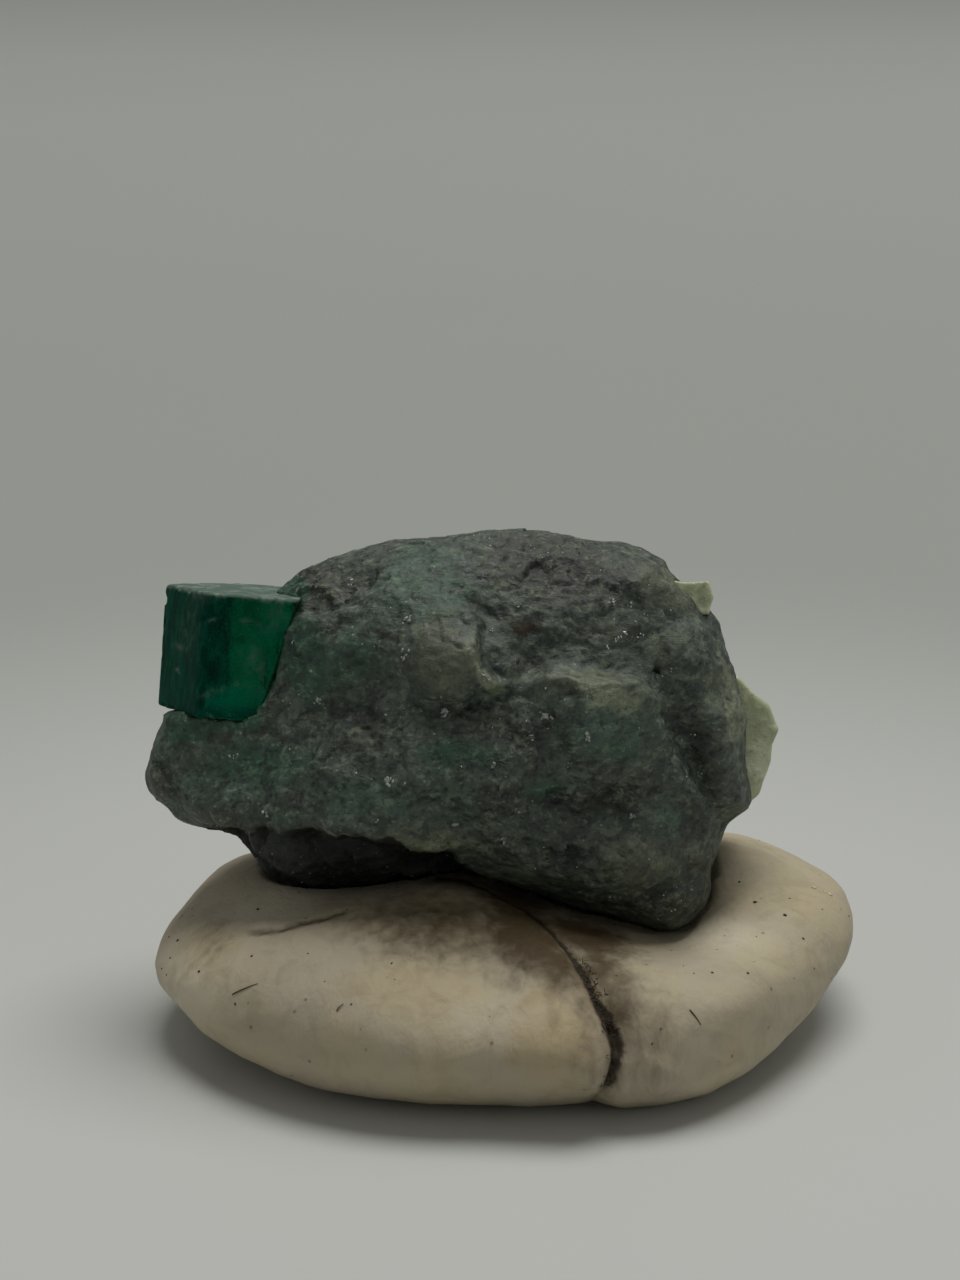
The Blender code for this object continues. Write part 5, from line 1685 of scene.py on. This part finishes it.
@dataclass
class PuttyLitter:
    """Dark crumbs on the putty, and short fibres caught in its fold."""

    centre: Triple = Putty.centre
    crumbs: tuple[tuple[float, float, float], ...] = (
        (-10.5, 2.04, 0.09), (-14.1, 0.65, 0.07), (-14.3, -0.09, 0.06), (-13.1, -0.61, 0.07),
        (-10.9, 0.0, 0.06), (-8.35, 0.17, 0.05), (-4.8, -0.3, 0.06), (11.0, 2.35, 0.1),
        (12.2, 1.83, 0.09), (13.0, 0.87, 0.07), (9.1, -0.65, 0.06), (10.7, -0.74, 0.06),
        (13.5, -0.48, 0.05), (11.6, -3.04, 0.08), (10.3, 4.17, 0.07), (-6.5, -2.0, 0.05),
        (-2.0, -3.6, 0.05), (6.9, -3.1, 0.05), (8.2, 1.4, 0.05), (-11.6, -2.1, 0.06),
    )
    threads: tuple[tuple[float, float, float, float], ...] = (
        (-11.7, -1.65, -10.6, -1.22), (8.2, -2.3, 8.6, -3.0), (-7.2, -2.4, -6.9, -2.1),
    )
    resin: tuple[tuple[float, float, float], ...] = (
        (13.5, 3.0, 0.12), (13.9, 2.85, 0.09), (14.25, 2.7, 0.12), (12.6, 2.1, 0.05),
        (10.9, -0.2, 0.06), (10.2, 0.5, 0.04),
    )
    fuzz: int = 190
    loose_crumbs: int = 90
    rings: int = 7
    clearance: float = 0.05

    def on_front(self, points: Array, places: Array) -> Array:
        """Which point of the putty shows nearest to each place as seen."""
        local = (points - self.centre) @ sight_frame(self.centre)
        return showing_nearest(local, self.centre, places, 0.0)

    def build(self, putty: Putty, points: Array, normals: Array) -> None:
        """Lay the crumbs and the fibres.

        Args:
            putty: the lump.
            points: its points in the row frame.
            normals: its outward directions.
        """
        rows = np.array(self.crumbs)
        at = self.on_front(points, rows)
        dice = np.random.default_rng(9)
        free = np.flatnonzero((normals[:, 2] > -0.2) & (points[:, 2] > 1.0))
        count = self.loose_crumbs
        at = np.concatenate([at, dice.choice(free, count, replace=False)])
        size = np.concatenate([rows[:, 2], dice.uniform(0.02, 0.05, count)])
        grains = Grains("putty_crumbs", GrainKind.SOIL, "putty", 0.5)
        grains.build(points[at] + normals[at] * 0.01, normals[at], size, 10)
        rows = np.array(self.resin)
        at = self.on_front(points, rows)
        bits = Grains("putty_resin_bits", GrainKind.RESIN, "putty", 0.35)
        bits.build(points[at] + normals[at] * 0.01, normals[at], rows[:, 2], 11)
        self.lay_fibres(putty, points, normals, dice)

    def lay_fibres(self, putty: Putty, points: Array, normals: Array,
                   dice: np.random.Generator) -> None:
        """Lay short bent fibres across the fold, and the loose threads.

        A fibre's spine is a parabola from its root: straight out along its heading, arched
        along the surface's outward direction. Four-sided rings are carried along it.

        Args:
            putty: the lump.
            points: its points.
            normals: its outward directions.
            dice: source of chance.
        """
        fold = np.array(putty.fold)
        reach = np.concatenate([[0.0], np.cumsum(np.linalg.norm(np.diff(fold, axis=0), axis=1))])
        share = dice.uniform(0.14, 0.50, self.fuzz) * reach[-1]
        x = np.interp(share, reach, fold[:, 0]) + dice.normal(0.0, 0.16, self.fuzz)
        z = np.interp(share, reach, fold[:, 1]) + dice.normal(0.0, 0.10, self.fuzz)
        threads = np.array(self.threads)
        root = self.on_front(points, np.concatenate([np.stack([x, z], axis=1), threads[:, :2]]))
        tip = self.on_front(points, threads[:, 2:])
        axes = sight_frame(self.centre)
        heading = dice.normal(size=(self.fuzz, 3)) * (1.0, 0.4, 0.6) @ axes.T
        heading = heading / np.linalg.norm(heading, axis=1)[:, None]
        heading = heading * dice.uniform(0.12, 0.34, (self.fuzz, 1))
        heading = np.concatenate([heading, points[tip] - points[root[self.fuzz:]]])
        outward = normals[root]
        t = np.linspace(0.0, 1.0, self.rings)[None, :, None]
        arch = np.append(dice.uniform(0.02, 0.10, self.fuzz), [0.05] * len(threads))
        spine = (points[root][:, None] + outward[:, None] * 0.02 + heading[:, None] * t
                 + outward[:, None] * arch[:, None, None] * 4.0 * t * (1.0 - t))
        across = np.cross(heading, outward)
        across = across / np.linalg.norm(across, axis=1)[:, None]
        other = np.cross(across, heading)
        other = other / np.linalg.norm(other, axis=1)[:, None]
        thick = np.append(dice.uniform(0.012, 0.026, self.fuzz), [0.03] * len(threads))
        thick = thick[:, None, None] * (1.0 - 0.6 * t ** 2)
        corner = ((1.0, 0.0), (0.0, 1.0), (-1.0, 0.0), (0.0, -1.0))
        rings = np.stack([spine + (a * across + b * other)[:, None] * thick for a, b in corner], 2)
        rings[..., 2] = np.maximum(rings[..., 2], self.clearance)
        sides = len(corner)
        step = np.arange(self.rings - 1)[:, None] * sides
        side = np.arange(sides)[None, :]
        after = (side + 1) % sides
        walls = np.stack([step + side, step + after, step + sides + after, step + sides + side], -1)
        root_end = np.arange(sides)[::-1]
        tip_end = np.arange(sides) + sides * (self.rings - 1)
        one = np.concatenate([walls.reshape(-1, sides), [root_end, tip_end]])
        faces = one + sides * self.rings * np.arange(len(root))[:, None, None]
        piece = make_piece("putty_fibres", rings.reshape(-1, 3), faces.reshape(-1, 4),
                           GrainKind.HAIR.material())
        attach(piece, "root")


# ---------------------------------------------------------------- studio

@dataclass
class Studio:
    """A plain pale floor, soft light from above, and the camera."""

    floor_half: float = 2000.0
    floor_colour: Triple = (0.57, 0.585, 0.565)
    round_colour: Triple = (0.365, 0.385, 0.36)
    far_colour: Triple = (0.47, 0.50, 0.465)
    sky: float = 0.17
    seen_sky: Triple = (0.29, 0.30, 0.28)
    lamp_place: Triple = (110.0, 190.0, 800.0)
    lamp_size: float = 600.0
    lamp_power: float = 4.9
    fills: tuple[tuple[Triple, float], ...] = (
        ((-520.0, -160.0, 200.0), 0.13), ((470.0, -340.0, 240.0), 0.23),
    )
    fill_size: float = 300.0
    lamp_colour: Triple = (1.0, 0.985, 0.95)
    aim_at: Triple = (0.0, 0.0, 8.0)
    tilt: float = 15.5
    lens: float = 90.0
    sensor: float = 36.0
    nearest: float = 1.0
    darkens: Pair = (0.02, 0.085)
    lightens: Pair = (0.08, 0.5)

    def build(self) -> None:
        """Set up the floor, the world, the lamp and the camera."""
        self.lay_floor()
        self.light()
        camera = bpy.data.cameras.new("camera")
        camera.lens = self.lens
        camera.sensor_width = self.sensor
        camera.clip_start = self.nearest * MM
        holder = bpy.data.objects.new("camera", camera)
        holder.location = tuple(value * MM for value in VIEWPOINT)
        holder.rotation_euler = (math.radians(90.0 - self.tilt), 0.0, 0.0)
        bpy.context.scene.collection.objects.link(holder)
        bpy.context.scene.camera = holder
        bpy.context.scene.view_settings.view_transform = "Standard"

    def lay_floor(self) -> None:
        """A level square with a faint sheen, darker around the specimen and lighter far off."""
        h = self.floor_half
        material, n = new_material("pale floor")
        cloud = n.noise(90.0, 3.0)
        away = n.make("ShaderNodeVectorMath", {"operation": "LENGTH"}, {0: n.place}, "Value")
        colour = n.blend(away.step(*self.darkens), self.floor_colour, self.round_colour)
        colour = n.blend(away.step(*self.lightens), colour, self.far_colour)
        n.finish(n.principled({"Base Color": colour, "Roughness": 0.32 + cloud * 0.08,
                               "Specular IOR Level": 0.35}))
        corners = np.array([(-h, -h, 0.0), (h, -h, 0.0), (h, h, 0.0), (-h, h, 0.0)])
        make_piece("floor", corners, np.array([[0, 1, 2, 3]]), material)

    def light(self) -> None:
        """A dim even sky, a wide lamp above and a little behind, and weak ones at the sides."""
        world = bpy.data.worlds.new("soft room")
        world.use_nodes = True
        n = Nodes(world.node_tree)
        dim = n.make("ShaderNodeBackground", {}, {"Color": (1.0, 1.0, 0.98), "Strength": self.sky})
        seen = n.make("ShaderNodeBackground", {}, {"Color": self.seen_sky, "Strength": 1.0})
        direct = n.make("ShaderNodeLightPath", {}, {}, "Is Camera Ray")
        mixed = n.make("ShaderNodeMixShader", {}, {0: direct, 1: dim, 2: seen})
        n.make("ShaderNodeOutputWorld", {}, {"Surface": mixed})
        bpy.context.scene.world = world
        self.hang("wide lamp", self.lamp_place, self.lamp_size, self.lamp_power)
        for place, power in self.fills:
            self.hang("side fill", place, self.fill_size, power)

    def hang(self, name: str, at: Triple, size: float, power: float) -> None:
        """Hang a round lamp that shines at the specimen.

        Args:
            name: its name.
            at: its place.
            size: its width.
            power: its power in watts.
        """
        lamp = bpy.data.lights.new(name, "AREA")
        lamp.shape = "DISK"
        lamp.size = size * MM
        lamp.energy = power
        lamp.color = self.lamp_colour
        holder = bpy.data.objects.new(name, lamp)
        place = np.array(at)
        aim = np.array(self.aim_at) - place
        flat = math.hypot(aim[0], aim[1])
        holder.location = tuple(place * MM)
        holder.rotation_euler = (math.atan2(flat, -aim[2]), 0.0,
                                 math.atan2(aim[1], aim[0]) - math.pi / 2)
        bpy.context.scene.collection.objects.link(holder)


# ---------------------------------------------------------------- putting it together


def main() -> None:
    """Build every piece in order."""
    logging.basicConfig(level=logging.INFO, format="%(message)s")
    for thing in list(bpy.data.objects):
        if thing.type in ("CAMERA", "LIGHT"):
            bpy.data.objects.remove(thing, do_unlink=True)
    Studio().build()
    rock = Rock()
    emerald = Emerald()
    crystals = [emerald.crystal()] + [pale.crystal() for pale in PALE_CRYSTALS]
    stone, stone_out, sparkle = rock.build(crystals)
    emerald.build(rock.axes(), rock.centre)
    waxy = PaleCrystalFinish().material()
    for pale in PALE_CRYSTALS:
        pale.build(rock.axes(), rock.centre, waxy)
    RockGrains().build(rock, stone, stone_out, sparkle)
    putty = Putty()
    skin, skin_out = putty.build(stone @ rock.axes().T + rock.centre)
    PuttyLitter().build(putty, skin, skin_out)


if __name__ == "__main__":
    main()
